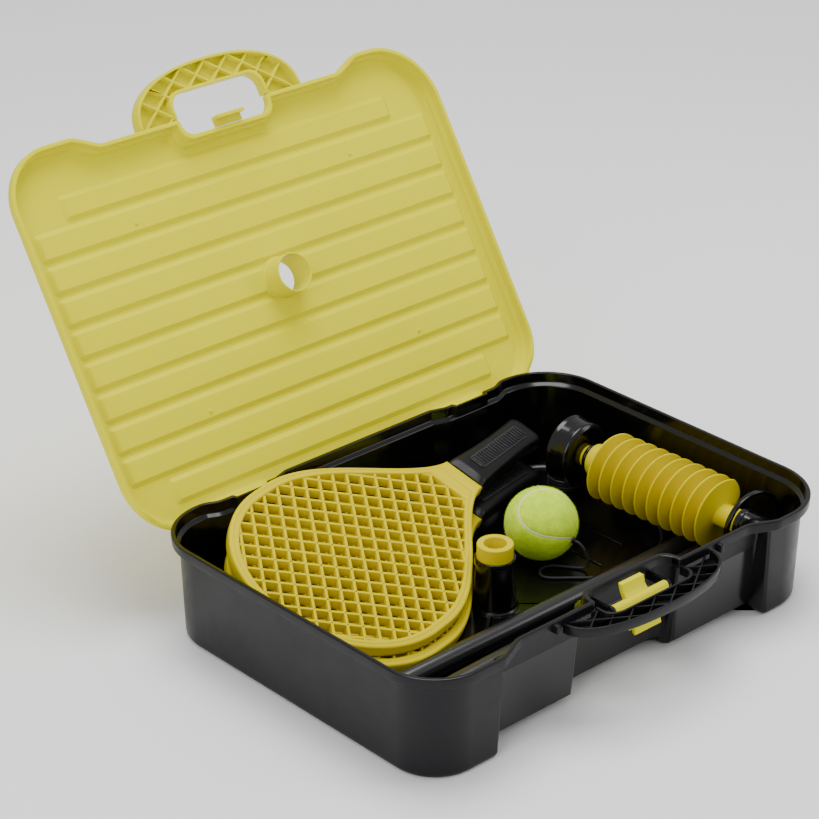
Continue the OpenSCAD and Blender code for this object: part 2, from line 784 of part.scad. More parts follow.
// A tube with a narrower spigot at its left end
module pole(place) {
    spigot_r = pole_r - pole_wall - 0.3;
    whole_l = pole_l + spigot_l;
    color(steel_black) translate([place[0], place[1], pole_z]) rotate([0, -90, place[2]])
        translate([0, 0, -whole_l / 2]) difference() {
            union() {
                cylinder(r = pole_r, h = pole_l);
                cylinder(r = spigot_r, h = whole_l);
            }
            translate([0, 0, -1]) cylinder(r = pole_r - pole_wall, h = pole_l - 5);
            translate([0, 0, -1]) cylinder(r = spigot_r - pole_wall, h = whole_l + 2);
        }
}

module pole_back() { pole(pole_places[0]); }
module pole_middle() { pole(pole_places[1]); }
module pole_front() { pole(pole_places[2]); }

// ---------- helix ----------

// Z of the children lies along the screw's axis, towards the back
module helix_place() {
    translate(helix_at) rotate([0, 0, helix_yaw]) rotate([-90, 0, 0]) children();
}

module helix_core() {
    neck_r = 10;
    stub_r = 8;
    color(amber_abs) helix_place() rotate_extrude() polygon([
        [0, shaft_from], [shaft_r, shaft_from], [shaft_r, core_from], [core_r, core_from],
        [core_r, core_to - 0.8], [core_r - 0.8, core_to], [neck_r, core_to],
        [neck_r, cap_from - 0.1], [stub_r, cap_from - 0.1], [stub_r, cap_from + 14], [0, cap_from + 14]
    ]);
}

// The screw's turns, one left-handed blade swept round the core
module helix_flight() {
    steps = 24;
    total = turns * steps;
    grow = 3;
    points = [for (k = [0:total])
        let (a = flight_angle + 360 * k / steps,
             z = flight_from + pitch * k / steps,
             bare = min(1, max(0, (core_from + 3 - z) / 1.5)),
             root_r = core_r - 0.4 - bare * (core_r - shaft_r),
             rise = min(1, min(k, total - k) / grow),
             edge = core_r + 1 + (flight_r - core_r - 1) * sqrt(rise))
        each [
            [root_r * cos(a), -root_r * sin(a), z - flight_root / 2],
            [root_r * cos(a), -root_r * sin(a), z + flight_root / 2],
            [edge * cos(a), -edge * sin(a), z + flight_t / 2],
            [edge * cos(a), -edge * sin(a), z - flight_t / 2]
        ]];
    last = total * 4;
    ends = [[0, 1, 2], [0, 2, 3], [last, last + 2, last + 1], [last, last + 3, last + 2]];
    color(amber_abs) helix_place()
        polyhedron(points, reversed(concat(band_faces(total + 1, 4, false), ends)), 10);
}

// Ring round the neck between the screw and its cap
module helix_neck() {
    t = 3.4;
    color(black_abs) helix_place() translate([0, 0, core_to + 2.5]) difference() {
        rotate_extrude() polygon([
            [0, 0], [11.8, 0], [12.6, 0.8], [12.6, t - 0.8], [11.8, t], [0, t]
        ]);
        translate([0, 0, -1]) cylinder(r = 10.05, h = t + 2);
    }
}

// Bell cap, closed towards the screw and open at its far end
module helix_cap() {
    t = 2.2;
    hub_r = 8.05;
    hub_wall = 3;
    color(black_abs) helix_place() translate([0, 0, cap_from]) rotate_extrude() polygon([
        [hub_r, 0], [cap_r - 6, 0], [cap_r - 3.4, 1], [cap_r - 2, 2.8], [cap_r - 1.5, 5],
        [cap_r - 1.9, 8], [cap_r - 1.9, 13], [cap_r - 1.2, cap_l - 4], [cap_r, cap_l - 0.6],
        [cap_r - 0.4, cap_l], [cap_r - 1.2, cap_l], [cap_r - 1.2 - t, cap_l - 4],
        [cap_r - 1.9 - t, 13], [cap_r - 1.9 - t, 6], [cap_r - 5.2, t + 1], [cap_r - 7, t],
        [hub_r + hub_wall, t], [hub_r + hub_wall, 14], [hub_r, 14]
    ]);
}

// Collar on the lower end, which takes a pole's spigot
module helix_collar() {
    out = 14;
    color(black_abs) helix_place() translate([0, 0, collar_from]) difference() {
        rotate_extrude() polygon([
            [0, 0], [out - 1, 0], [out, 1], [out, 8], [out - 1.2, 9.5],
            [out - 1.2, helix_bore_l - 7], [out, helix_bore_l - 6], [out, helix_bore_l - 1],
            [out - 1, helix_bore_l - 0.05], [0, helix_bore_l - 0.05]
        ]);
        translate([0, 0, -1]) cylinder(r = helix_bore_r, h = helix_bore_l + 2);
    }
}

module tether_ring() {
    color(black_abs) translate(ring_at) rotate([-90, 0, ring_yaw]) translate([0, 0, -ring_w / 2])
        difference() {
            rotate_extrude() polygon([
                [0, 0], [ring_r - 0.8, 0], [ring_r, 0.8], [ring_r, ring_w - 0.8], [ring_r - 0.8, ring_w], [0, ring_w]
            ]);
            translate([0, 0, -1]) cylinder(r = ring_r - ring_t, h = ring_w + 2);
        }
}

// ---------- tether ----------

cord_z = floor_t + cord_d / 2 + 0.1;
eye_end = ball_at + eye_dir * (ball_r + eye_h + 0.02);
coil_at = [200, 111];
coil_step = cord_d + 0.5;
coil_rise = cord_d + 0.45;

// The tether's way from the ball, under the screw and to the coil
cord_route = [
    eye_end, eye_end + 2 * eye_dir, eye_end + 4.5 * eye_dir,
    [98.5, -9.5, 24], [100, -12.5, 17], [100.5, -13.5, 10], [99, -11.5, 5.6],
    [95, -6, cord_z], [89, 2.5, cord_z], [83.5, 9.5, cord_z], [77, 13.8, cord_z],
    [70, 13.6, cord_z], [64.5, 9.5, cord_z], [62.2, 3, cord_z], [65.5, -3, cord_z],
    [72, -9, cord_z], [81, -17, cord_z], [90.5, -25.5, cord_z], [101, -32, cord_z],
    [113, -35.5, cord_z], [127, -36.5, cord_z], [142, -36, cord_z], [157, -34, cord_z],
    [172, -29.5, cord_z], [186, -22, cord_z], [198, -10, cord_z], [207, 5, cord_z],
    [212.5, 22, cord_z], [215.5, 40, cord_z], [217, 60, cord_z], [217, 80, cord_z],
    [217, 98, cord_z], [217, 111 - cord_d, cord_z]
];

// A point of a smooth curve through the route
function curve_point(p, i, t) =
    let (n = len(p) - 1, a = p[max(0, i - 1)], b = p[i], c = p[min(n, i + 1)], e = p[min(n, i + 2)])
    0.5 * (2 * b + (c - a) * t + (2 * a - 5 * b + 4 * c - e) * t * t + (3 * b - a - 3 * c + e) * t * t * t);

function smooth(p, steps) =
    concat([for (i = [0:len(p) - 2], j = [0:steps - 1]) curve_point(p, i, j / steps)], [p[len(p) - 1]]);

// Rings of a tube of n sides along a path
function tube_points(path, r, n) =
    [for (k = [0:len(path) - 1])
        let (m = len(path) - 1,
             t = unit(path[min(m, k + 1)] - path[max(0, k - 1)]),
             side = unit(cross(t, abs(t[2]) > 0.9 ? [0, 1, 0] : [0, 0, 1])),
             up = cross(side, t))
        each [for (i = [0:n - 1]) let (a = (i + 0.5) * 360 / n) path[k] + r * (cos(a) * side + sin(a) * up)]];

module tube(path, r, n) {
    last = (len(path) - 1) * n;
    ends = [for (i = [1:n - 2]) each [[0, i, i + 1], [last, last + i + 1, last + i]]];
    polyhedron(tube_points(path, r, n), reversed(concat(band_faces(len(path), n, false), ends)), 10);
}

module tether_run() { color(black_abs) tube(smooth(cord_route, 2), cord_d / 2, 8); }

// Place on the stored coil after s turns: in and out again, a layer higher each time
function coil_point(s) =
    let (layer = min(coil_layers - 1, floor(s / coil_turns)),
         f = s / coil_turns - layer,
         span = coil_step * coil_turns,
         r = layer % 2 == 0 ? coil_r - span * f : coil_r - span * (1 - f),
         near = round(s / coil_turns),
         climb = near > 0 && near < coil_layers ? min(1, max(0, 2 * (s - near * coil_turns) + 0.5)) : 0,
         level = near > 0 && near < coil_layers && abs(s - near * coil_turns) < 0.25 ? near - 1 + climb : layer)
    [coil_at[0] + r * cos(360 * s), coil_at[1] + r * sin(360 * s), cord_z + coil_rise * level];

coil_total = coil_turns * coil_layers;
coil_steps = 24;
coil_path = concat(
    [[coil_at[0] + coil_r, coil_at[1] - cord_d, cord_z]],
    [for (k = [0:coil_total * coil_steps]) coil_point(k / coil_steps)],
    [[coil_at[0] + coil_r, coil_at[1] + cord_d, cord_z + coil_rise * (coil_layers - 1)],
     [coil_at[0] + coil_r, coil_at[1] + 2 * cord_d, cord_z + coil_rise * (coil_layers - 1)]]
);

module tether_coil() { color(black_abs) tube(coil_path, cord_d / 2, 6); }

// Knot that ends the tether
module tether_knot() {
    knot_r = cord_d * 0.74;
    end = coil_path[len(coil_path) - 1];
    color(black_abs) translate(end + [0, knot_r * 0.8 + 0.02, 0]) difference() {
        sphere(r = knot_r);
        translate([-knot_r, -3.8 * knot_r, -knot_r]) cube([2 * knot_r, 3 * knot_r, 2 * knot_r]);
    }
}

// Least gap between strands of the coil, on its points
coil_gap = min([for (i = [0:2:len(coil_path) - 1], j = [i + 14:1:min(len(coil_path) - 1, i + 80)])
    norm(coil_path[i] - coil_path[j])]) - cord_d;
function path_length(p) = len(p) < 2 ? 0 : [for (i = 1, s = norm(p[1] - p[0]); i < len(p);
    i = i + 1, s = s + (i < len(p) ? norm(p[i] - p[i - 1]) : 0)) s][len(p) - 2];
echo(coil_gap = coil_gap, tether_length = path_length(smooth(cord_route, 2)) + path_length(coil_path));

case_floor();
case_front();
case_right();
case_back_right();
case_back();
case_back_left();
case_left();
floor_ribs();
base_handle();
pole_pillar();
pole_socket();
hinge_seat(-1);  // hinge_seat_left
hinge_seat(1);  // hinge_seat_right
hinge_pin(-1);  // hinge_pin_left
hinge_pin(1);  // hinge_pin_right
latch_ears();
latch_pin();
tether_run();
tether_coil();
tether_knot();
lid_shell();
lid_ribs();
lid_collar();
lid_handle();
lid_catch();
lid_lug(-1);  // lid_lug_left
lid_lug(1);  // lid_lug_right
latch_hook();
lower_rim();
lower_grid();
lower_grip();
lower_grip_pad();
upper_rim();
upper_grid();
upper_grip();
upper_grip_pad();
ball_core();
ball_felt();
ball_eye();
pole_back();
pole_middle();
pole_front();
helix_core();
helix_flight();
helix_neck();
helix_cap();
helix_collar();
tether_ring();
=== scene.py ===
"""Looks of a tether tennis set that lies packed in its open carry case."""

import logging
import math
from dataclasses import dataclass, field
from enum import Enum
from typing import Protocol, Sequence

import bmesh
import bpy
from mathutils import Matrix, Vector
from mathutils.geometry import tessellate_polygon


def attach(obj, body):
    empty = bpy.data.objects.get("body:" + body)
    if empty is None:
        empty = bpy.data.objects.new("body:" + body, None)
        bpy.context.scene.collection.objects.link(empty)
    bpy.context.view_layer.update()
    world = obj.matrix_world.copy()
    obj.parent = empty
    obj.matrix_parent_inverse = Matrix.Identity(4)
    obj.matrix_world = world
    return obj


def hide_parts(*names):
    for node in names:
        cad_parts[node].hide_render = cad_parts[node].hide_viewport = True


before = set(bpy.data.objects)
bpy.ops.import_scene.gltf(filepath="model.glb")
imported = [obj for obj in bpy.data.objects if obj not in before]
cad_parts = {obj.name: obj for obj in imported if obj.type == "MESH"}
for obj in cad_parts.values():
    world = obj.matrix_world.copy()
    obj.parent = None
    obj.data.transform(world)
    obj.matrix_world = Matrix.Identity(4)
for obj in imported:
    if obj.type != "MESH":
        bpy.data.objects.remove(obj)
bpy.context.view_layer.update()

LOG = logging.getLogger("tether_set")
MM = 0.001

Flat = tuple[float, float]
Point = tuple[float, float, float]
Faces = list[tuple[int, ...]]
Output = tuple[bpy.types.Node, object]


# ---------------------------------------------------------------- outlines


def _unit(x: float, y: float) -> Flat:
    """Returns the direction of (x, y) with length 1."""
    size = math.hypot(x, y) or 1.0
    return x / size, y / size


def moved_in(a: Flat, b: Flat, c: Flat, inset: float) -> Flat:
    """Moves corner b of a counter-clockwise outline inwards.

    Args:
        a: The corner before b.
        b: The corner that moves.
        c: The corner after b.
        inset: How far both of its edges move in.

    Returns:
        The new corner.
    """
    ux, uy = _unit(b[0] - a[0], b[1] - a[1])
    vx, vy = _unit(c[0] - b[0], c[1] - b[1])
    n1, n2 = (-uy, ux), (-vy, vx)
    share = inset / (1 + n1[0] * n2[0] + n1[1] * n2[1])
    return b[0] + share * (n1[0] + n2[0]), b[1] + share * (n1[1] + n2[1])


def arc(a: Flat, b: Flat, c: Flat, radius: float, steps: int) -> list[Flat]:
    """Rounds corner b.

    Args:
        a: The corner before b.
        b: The corner to round.
        c: The corner after b.
        radius: Radius of the rounding.
        steps: Number of its steps, or 0 to keep the corner sharp.

    Returns:
        The points of the arc.
    """
    if steps == 0:
        return [b]
    ux, uy = _unit(b[0] - a[0], b[1] - a[1])
    vx, vy = _unit(c[0] - b[0], c[1] - b[1])
    side = 1.0 if ux * vy - uy * vx >= 0 else -1.0
    bend = math.acos(max(-1.0, min(1.0, ux * vx + uy * vy)))
    back = radius * math.tan(bend / 2)
    mx, my = b[0] - ux * back - side * uy * radius, b[1] - uy * back + side * ux * radius
    points = []
    for j in range(steps + 1):
        t = side * bend * j / steps
        nx, ny = -uy * math.cos(t) - ux * math.sin(t), -uy * math.sin(t) + ux * math.cos(t)
        points.append((mx - side * radius * nx, my - side * radius * ny))
    return points


@dataclass(frozen=True)
class Corner:
    """A corner of an outline: its place, its radius and the steps of its arc."""

    at: Flat
    radius: float = 0.0
    steps: int = 0


def rounded(corners: Sequence[Corner], inset: float, finer: int = 1) -> list[Flat]:
    """Draws a closed, rounded outline.

    Args:
        corners: The corners, counter-clockwise.
        inset: How far the whole outline moves in.
        finer: How many times finer the arcs are than their own steps.

    Returns:
        The outline's points, as many for any inset.
    """
    n = len(corners)
    at = [corner.at for corner in corners]
    moved = [moved_in(at[i - 1], at[i], at[(i + 1) % n], inset) for i in range(n)]
    points: list[Flat] = []
    for i, corner in enumerate(corners):
        a, b, c = moved[i - 1], moved[i], moved[(i + 1) % n]
        turn = (b[0] - a[0]) * (c[1] - b[1]) - (b[1] - a[1]) * (c[0] - b[0])
        radius = max(corner.radius - inset, 0.8) if turn > 0 else corner.radius + inset
        points += arc(a, b, c, radius, corner.steps * finer)
    return points


@dataclass(frozen=True)
class Bend:
    """A corner of a wall's cross section: inset, height, radius, and what it belongs to."""

    inset: float
    z: float
    radius: float = 0.0
    inner: bool = False


def soft_section(bends: Sequence[Bend], closed: bool, steps: int = 4) -> list[Bend]:
    """Rounds the corners of a cross section.

    Args:
        bends: The corners in order.
        closed: Whether the last joins the first.
        steps: Steps of each rounding.

    Returns:
        The points of the rounded section.
    """
    n = len(bends)
    result: list[Bend] = []
    for i, bend in enumerate(bends):
        if bend.radius == 0 or (not closed and i in (0, n - 1)):
            result.append(bend)
            continue
        a, c = bends[i - 1], bends[(i + 1) % n]
        here = (bend.inset, bend.z)
        for x, z in arc((a.inset, a.z), here, (c.inset, c.z), bend.radius, steps):
            result.append(Bend(x, z, 0.0, bend.inner))
    return result


def band(rings: int, n: int, closed: bool) -> Faces:
    """Returns the quads between neighbouring rings.

    Args:
        rings: Number of rings.
        n: Number of points in each.
        closed: Whether the last ring joins the first.

    Returns:
        The quads.
    """
    faces: Faces = []
    for k in range(rings if closed else rings - 1):
        low, high = k * n, ((k + 1) % rings) * n
        faces += [(low + i, low + (i + 1) % n, high + (i + 1) % n, high + i) for i in range(n)]
    return faces


# ---------------------------------------------------------------- places


@dataclass(frozen=True)
class Place:
    """Where a piece lies: turned about X, then Y, then Z in degrees, and then moved, in mm."""

    at: Point = (0.0, 0.0, 0.0)
    turn: Point = (0.0, 0.0, 0.0)

    def matrix(self) -> Matrix:
        """Returns the place as a matrix that also turns mm into metres."""
        rx, ry, rz = (math.radians(a) for a in self.turn)
        spin = Matrix.Rotation(rz, 4, "Z") @ Matrix.Rotation(ry, 4, "Y") @ Matrix.Rotation(rx, 4, "X")
        return Matrix.Scale(MM, 4) @ Matrix.Translation(self.at) @ spin


@dataclass(frozen=True)
class LidPlace:
    """Turns a piece of the closed lid about the hinges to where the open lid has it."""

    angle: float = 122.6
    hinge_y: float = 167.05
    hinge_z: float = 88.55

    def matrix(self) -> Matrix:
        """Returns the turn as a matrix that also turns mm into metres."""
        pivot = Matrix.Translation((0, self.hinge_y, self.hinge_z))
        turn = Matrix.Rotation(math.radians(-self.angle), 4, "X")
        return Matrix.Scale(MM, 4) @ pivot @ turn @ pivot.inverted()


# ---------------------------------------------------------------- meshes


def settle(mesh: bpy.types.Mesh, crease: float = 32.0, turn_out: bool = True) -> None:
    """Merges doubles, turns faces outwards and shades a mesh smooth up to a crease angle.

    Args:
        mesh: The mesh.
        crease: Edges sharper than this many degrees stay crisp.
        turn_out: Whether the normals are worked out anew.
    """
    bm = bmesh.new()
    bm.from_mesh(mesh)
    bmesh.ops.remove_doubles(bm, verts=bm.verts, dist=1e-6)
    bmesh.ops.dissolve_degenerate(bm, edges=bm.edges, dist=1e-6)
    if turn_out:
        bmesh.ops.recalc_face_normals(bm, faces=bm.faces)
    bm.to_mesh(mesh)
    bm.free()
    mesh.shade_smooth()
    mesh.set_sharp_from_angle(angle=math.radians(crease))


def link(name: str, data: bpy.types.ID) -> bpy.types.Object:
    """Puts a mesh, lamp or camera into the scene at the origin and returns its object."""
    obj = bpy.data.objects.new(name, data)
    bpy.context.scene.collection.objects.link(obj)
    return obj


def new_piece(
    name: str,
    points: Sequence[Sequence[float]],
    faces: Faces,
    place: Matrix,
    crease: float = 32.0,
    turn_out: bool = True,
) -> bpy.types.Object:
    """Makes an object from points in a piece's own mm.

    Args:
        name: The object's name.
        points: Points before they are placed.
        faces: Faces as tuples of indices.
        place: Matrix that places them, in metres.
        crease: Angle past which edges stay crisp.
        turn_out: Whether the normals are worked out anew.

    Returns:
        The object, which stands at the origin.
    """
    mesh = bpy.data.meshes.new(name)
    mesh.from_pydata([place @ Vector(p) for p in points], [], faces)
    settle(mesh, crease, turn_out)
    return link(name, mesh)


class Ends(Enum):
    """What a loft has at its ends."""

    OPEN = "both rings stay open"
    LAST = "the last ring is covered"
    BOTH = "both rings are covered"
    LOOP = "the last ring joins the first"


def loft(
    name: str,
    rings: Sequence[Sequence[Sequence[float]]],
    place: Matrix,
    crease: float = 40.0,
    ends: Ends = Ends.BOTH,
    turn_out: bool = True,
) -> bpy.types.Object:
    """Joins rings of equally many points into a piece.

    Args:
        name: The object's name.
        rings: The rings in order.
        place: Matrix that places the piece.
        crease: Angle past which edges stay crisp.
        ends: What the piece has at its ends.
        turn_out: Whether the normals are worked out anew.

    Returns:
        The new object.
    """
    n, count = len(rings[0]), len(rings)
    faces = band(count, n, ends is Ends.LOOP)
    if ends is Ends.BOTH:
        faces.append(tuple(range(n)))
    if ends in (Ends.BOTH, Ends.LAST):
        faces.append(tuple(range((count - 1) * n, count * n)))
    return new_piece(name, [p for ring in rings for p in ring], faces, place, crease, turn_out)


def oblong(x: Flat, y: Flat, radius: float, steps: int) -> list[Corner]:
    """Returns the rounded corners of a rectangle, from x[0] to x[1] and from y[0] to y[1]."""
    return [Corner((x[i], y[j]), radius, steps) for i, j in ((0, 0), (1, 0), (1, 1), (0, 1))]


def stacked(
    corners: Sequence[Corner], section: Sequence[Bend], level: float, finer: int
) -> list[list[Point]]:
    """Draws an outline once at each point of a cross section.

    Args:
        corners: The outline's corners.
        section: The points, whose heights are measured from the level.
        level: The level.
        finer: How many times finer the arcs are than their own steps.

    Returns:
        The rings.
    """
    return [[(x, y, level + b.z) for x, y in rounded(corners, b.inset, finer)] for b in section]


def circle(middle: Vector, radius: float, side: Vector, high: Vector, turns: Sequence[float]) -> list[Vector]:
    """Returns the points at some angles of a circle that lies along two directions."""
    return [middle + radius * (math.cos(t) * side + math.sin(t) * high) for t in turns]


def whole_turn(steps: int, shift: float = 0.0) -> list[float]:
    """Returns the angles of equal steps round a whole turn, moved on by a share of a step."""
    return [2 * math.pi * (i + shift) / steps for i in range(steps)]


def lathe(
    name: str,
    section: Sequence[Bend],
    place: Matrix,
    closed: bool = True,
    steps: int = 96,
    rounding: int = 4,
    crease: float = 32.0,
) -> bpy.types.Object:
    """Turns a cross section round the Z axis.

    Args:
        name: The object's name.
        section: Corners, where inset is the radius.
        place: Matrix that places the piece.
        closed: Whether the section closes on itself; an open one ends on the axis.
        steps: Steps round the axis.
        rounding: Steps of each rounded corner.
        crease: Angle past which edges stay crisp.

    Returns:
        The new object.
    """
    rings = [
        [(b.inset * math.cos(t), b.inset * math.sin(t), b.z) for t in whole_turn(steps)]
        for b in soft_section(section, closed, rounding)
    ]
    return loft(name, rings, place, crease, Ends.LOOP if closed else Ends.OPEN)


def joined(name: str, parts: Sequence[bpy.types.Object]) -> bpy.types.Object:
    """Joins several objects at the origin into one mesh.

    Args:
        name: Name of the result.
        parts: The objects, which are used up.

    Returns:
        The joined object.
    """
    bm = bmesh.new()
    for part in parts:
        bm.from_mesh(part.data)
    mesh = bpy.data.meshes.new(name)
    bm.to_mesh(mesh)
    bm.free()
    for material in parts[0].data.materials:
        mesh.materials.append(material)
    for part in parts:
        bpy.data.objects.remove(part)
    mesh.shade_smooth()
    mesh.set_sharp_from_angle(angle=math.radians(32))
    return link(name, mesh)


def softened(node: str, width: float, segments: int = 2) -> bpy.types.Object:
    """Copies a rigid part of the frame and rounds its edges.

    Args:
        node: Name of the part.
        width: Width of the rounding, in mm.
        segments: Segments of the rounding.

    Returns:
        The rounded copy, which stands for the part.
    """
    name = f"{node}_dressed"
    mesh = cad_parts[node].data.copy()
    mesh.name = name
    mesh.materials.clear()
    bm = bmesh.new()
    bm.from_mesh(mesh)
    bmesh.ops.remove_doubles(bm, verts=bm.verts, dist=2e-6)
    bmesh.ops.dissolve_limit(bm, angle_limit=math.radians(2), verts=bm.verts, edges=bm.edges)
    bm.to_mesh(mesh)
    bm.free()
    mesh.shade_smooth()
    obj = link(name, mesh)
    bevel = obj.modifiers.new("edges", "BEVEL")
    bevel.width = width * MM
    bevel.segments = segments
    bevel.limit_method = "ANGLE"
    bevel.angle_limit = math.radians(35)
    bevel.use_clamp_overlap = True
    bevel.harden_normals = False
    flat_mesh(obj)
    obj.data.shade_smooth()
    obj.data.set_sharp_from_angle(angle=math.radians(40))
    return obj


def flat_mesh(obj: bpy.types.Object) -> None:
    """Turns an object's modifiers into its plain mesh and removes them."""
    bpy.context.view_layer.update()
    graph = bpy.context.evaluated_depsgraph_get()
    shown = obj.evaluated_get(graph)
    result = bpy.data.meshes.new_from_object(shown, preserve_all_data_layers=True, depsgraph=graph)
    obj.modifiers.clear()
    obj.data = result


# ---------------------------------------------------------------- node trees


def linear(colour: str) -> tuple[float, float, float, float]:
    """Turns an sRGB hex colour such as #FFD000 into linear red, green, blue and alpha."""
    values = [int(colour[i : i + 2], 16) / 255 for i in (1, 3, 5)]
    red, green, blue = (v / 12.92 if v <= 0.04045 else ((v + 0.055) / 1.055) ** 2.4 for v in values)
    return red, green, blue, 1.0


def add(
    tree: bpy.types.NodeTree, kind: str, links: dict[object, object], **settings: object
) -> bpy.types.Node:
    """Adds a node to a tree.

    Args:
        tree: The tree.
        kind: The node's type.
        links: Values, or (node, output) pairs, by input name or number.
        settings: The node's own properties.

    Returns:
        The new node.
    """
    node = tree.nodes.new(kind)
    for key, value in settings.items():
        setattr(node, key, value)
    for key, value in links.items():
        if isinstance(value, tuple) and value and isinstance(value[0], bpy.types.Node):
            tree.links.new(value[0].outputs[value[1]], node.inputs[key])
        else:
            node.inputs[key].default_value = value
    return node


def fresh(name: str) -> tuple[bpy.types.Material, bpy.types.NodeTree, bpy.types.Node]:
    """Makes an empty material and returns it with its tree and a node that gives object coordinates."""
    material = bpy.data.materials.new(name)
    material.use_nodes = True
    tree = material.node_tree
    tree.nodes.clear()
    return material, tree, add(tree, "ShaderNodeTexCoord", {})


def noise(
    tree: bpy.types.NodeTree, vector: Output, scale: float, detail: float, rough: float = 0.5
) -> Output:
    """Adds a noise texture.

    Args:
        tree: The material's tree.
        vector: Output that holds the coordinates, in metres.
        scale: Its blobs per metre, roughly.
        detail: How many finer layers lie on the first.
        rough: How strong these are.

    Returns:
        The texture's output, from 0 to 1.
    """
    links = {"Vector": vector, "Scale": scale, "Detail": detail, "Roughness": rough}
    return add(tree, "ShaderNodeTexNoise", links), "Fac"


def lines_along(tree: bpy.types.NodeTree, place: bpy.types.Node, stretch: Point, detail: float) -> Output:
    """Adds noise that is drawn out into fine lines, and returns its output."""
    mapping = add(tree, "ShaderNodeMapping", {"Vector": (place, "Object"), "Scale": stretch})
    return noise(tree, (mapping, "Vector"), 1.0, detail)


def spread(tree: bpy.types.NodeTree, value: Output, low: float, high: float, **window: float) -> Output:
    """Adds a step that spreads a value over a range.

    Args:
        tree: The material's tree.
        value: Output that holds the value.
        low: Where the range starts.
        high: Where it ends.
        window: The part of the value that fills the range, as least and most; 0 to 1 if not given.

    Returns:
        The step's output.
    """
    links = {"Value": value, "To Min": low, "To Max": high}
    if window:
        links |= {"From Min": window["least"], "From Max": window["most"]}
    return add(tree, "ShaderNodeMapRange", links), "Result"


def mixed(tree: bpy.types.NodeTree, share: Output, first: str, second: str) -> Output:
    """Adds a mix of two hex colours and returns its output."""
    factor, a, b, result = 0, 6, 7, 2
    links = {factor: share, a: linear(first), b: linear(second)}
    return add(tree, "ShaderNodeMix", links, data_type="RGBA"), result


def relief(
    tree: bpy.types.NodeTree, height: Output, strength: float, depth: float, **below: Output
) -> Output:
    """Adds a bump.

    Args:
        tree: The material's tree.
        height: Output that holds the relief.
        strength: How strong it is.
        depth: How deep it is, in mm.
        below: The Normal of a coarser bump that it lies on.

    Returns:
        The bump's normal.
    """
    links = {"Strength": strength, "Distance": depth * MM, "Height": height, **below}
    return add(tree, "ShaderNodeBump", links), "Normal"


def surface(tree: bpy.types.NodeTree, links: dict[object, object]) -> None:
    """Ends a material's tree with its shader."""
    shader = add(tree, "ShaderNodeBsdfPrincipled", links)
    add(tree, "ShaderNodeOutputMaterial", {"Surface": (shader, "BSDF")})


@dataclass
class Flow:
    """A Geometry Nodes tree that ends as plain, painted mesh; inputs holds each name's kind."""

    name: str
    inputs: dict[str, str]
    tree: bpy.types.NodeTree = field(init=False)
    group: bpy.types.Node = field(init=False)
    sockets: dict[str, object] = field(init=False)

    def __post_init__(self) -> None:
        """Makes the tree with its geometry and its named inputs."""
        self.tree = bpy.data.node_groups.new(self.name, "GeometryNodeTree")
        face = self.tree.interface
        face.new_socket("Geometry", in_out="INPUT", socket_type="NodeSocketGeometry")
        self.sockets = {
            name: face.new_socket(name, in_out="INPUT", socket_type=f"NodeSocket{kind}")
            for name, kind in self.inputs.items()
        }
        face.new_socket("Geometry", in_out="OUTPUT", socket_type="NodeSocketGeometry")
        self.group = add(self.tree, "NodeGroupInput", {})

    def run(
        self,
        obj: bpy.types.Object,
        result: Output,
        material: bpy.types.Material,
        values: dict[str, object],
    ) -> None:
        """Ends the tree, runs it on an object and keeps the plain mesh.

        Args:
            obj: The object.
            result: Output that holds the geometry.
            material: Material of the result.
            values: The named inputs.
        """
        real = add(self.tree, "GeometryNodeRealizeInstances", {"Geometry": result})
        links = {"Geometry": (real, "Geometry"), "Material": material}
        painted = add(self.tree, "GeometryNodeSetMaterial", links)
        add(self.tree, "NodeGroupOutput", {"Geometry": (painted, "Geometry")})
        modifier = obj.modifiers.new(self.name, "NODES")
        modifier.node_group = self.tree
        for name, value in values.items():
            modifier[self.sockets[name].identifier] = value
        flat_mesh(obj)


# ---------------------------------------------------------------- materials


class Finish(Protocol):
    """What every finish can do."""

    def build(self) -> bpy.types.Material:
        """Returns the material."""


class Gloss(Enum):
    """How a mould's wall was finished, as the roughness that it leaves."""

    POLISHED = 0.16
    SATIN = 0.34


@dataclass(frozen=True)
class MouldedPlastic:
    """Plastic from an injection mould: even colour, faint flow clouds, and the mould's own grain.

    The grain and the waves have a length and a depth in mm.
    """

    name: str
    colour: str
    clouds: str
    gloss: Gloss
    grain: float
    grain_depth: float
    wave: float
    wave_depth: float
    shine: float
    tint: str = "#FFFFFF"

    def build(self) -> bpy.types.Material:
        """Returns the material."""
        material, tree, place = fresh(self.name)
        spot = (place, "Object")
        # Clouds a hand wide, as where the melt flows together
        cloud = noise(tree, spot, 14.0, 2.0, 0.4)
        # Handling leaves the gloss slightly uneven every few centimetres
        rub = noise(tree, spot, 55.0, 4.0, 0.6)
        low, high = self.gloss.value * 0.85, self.gloss.value * 1.2
        # Long, shallow waves from cooling, and the grain of the mould
        swell = relief(tree, noise(tree, spot, 1000 / self.wave, 1.0), 0.5, self.wave_depth)
        grain = noise(tree, spot, 1000 / self.grain, 2.0)
        surface(
            tree,
            {
                "Base Color": mixed(tree, cloud, self.colour, self.clouds),
                "Roughness": spread(tree, rub, low, high, least=0.3, most=0.7),
                "Normal": relief(tree, grain, 0.6, self.grain_depth, Normal=swell),
                "IOR": 1.53,
                "Specular IOR Level": self.shine,
                "Specular Tint": linear(self.tint),
            },
        )
        return material


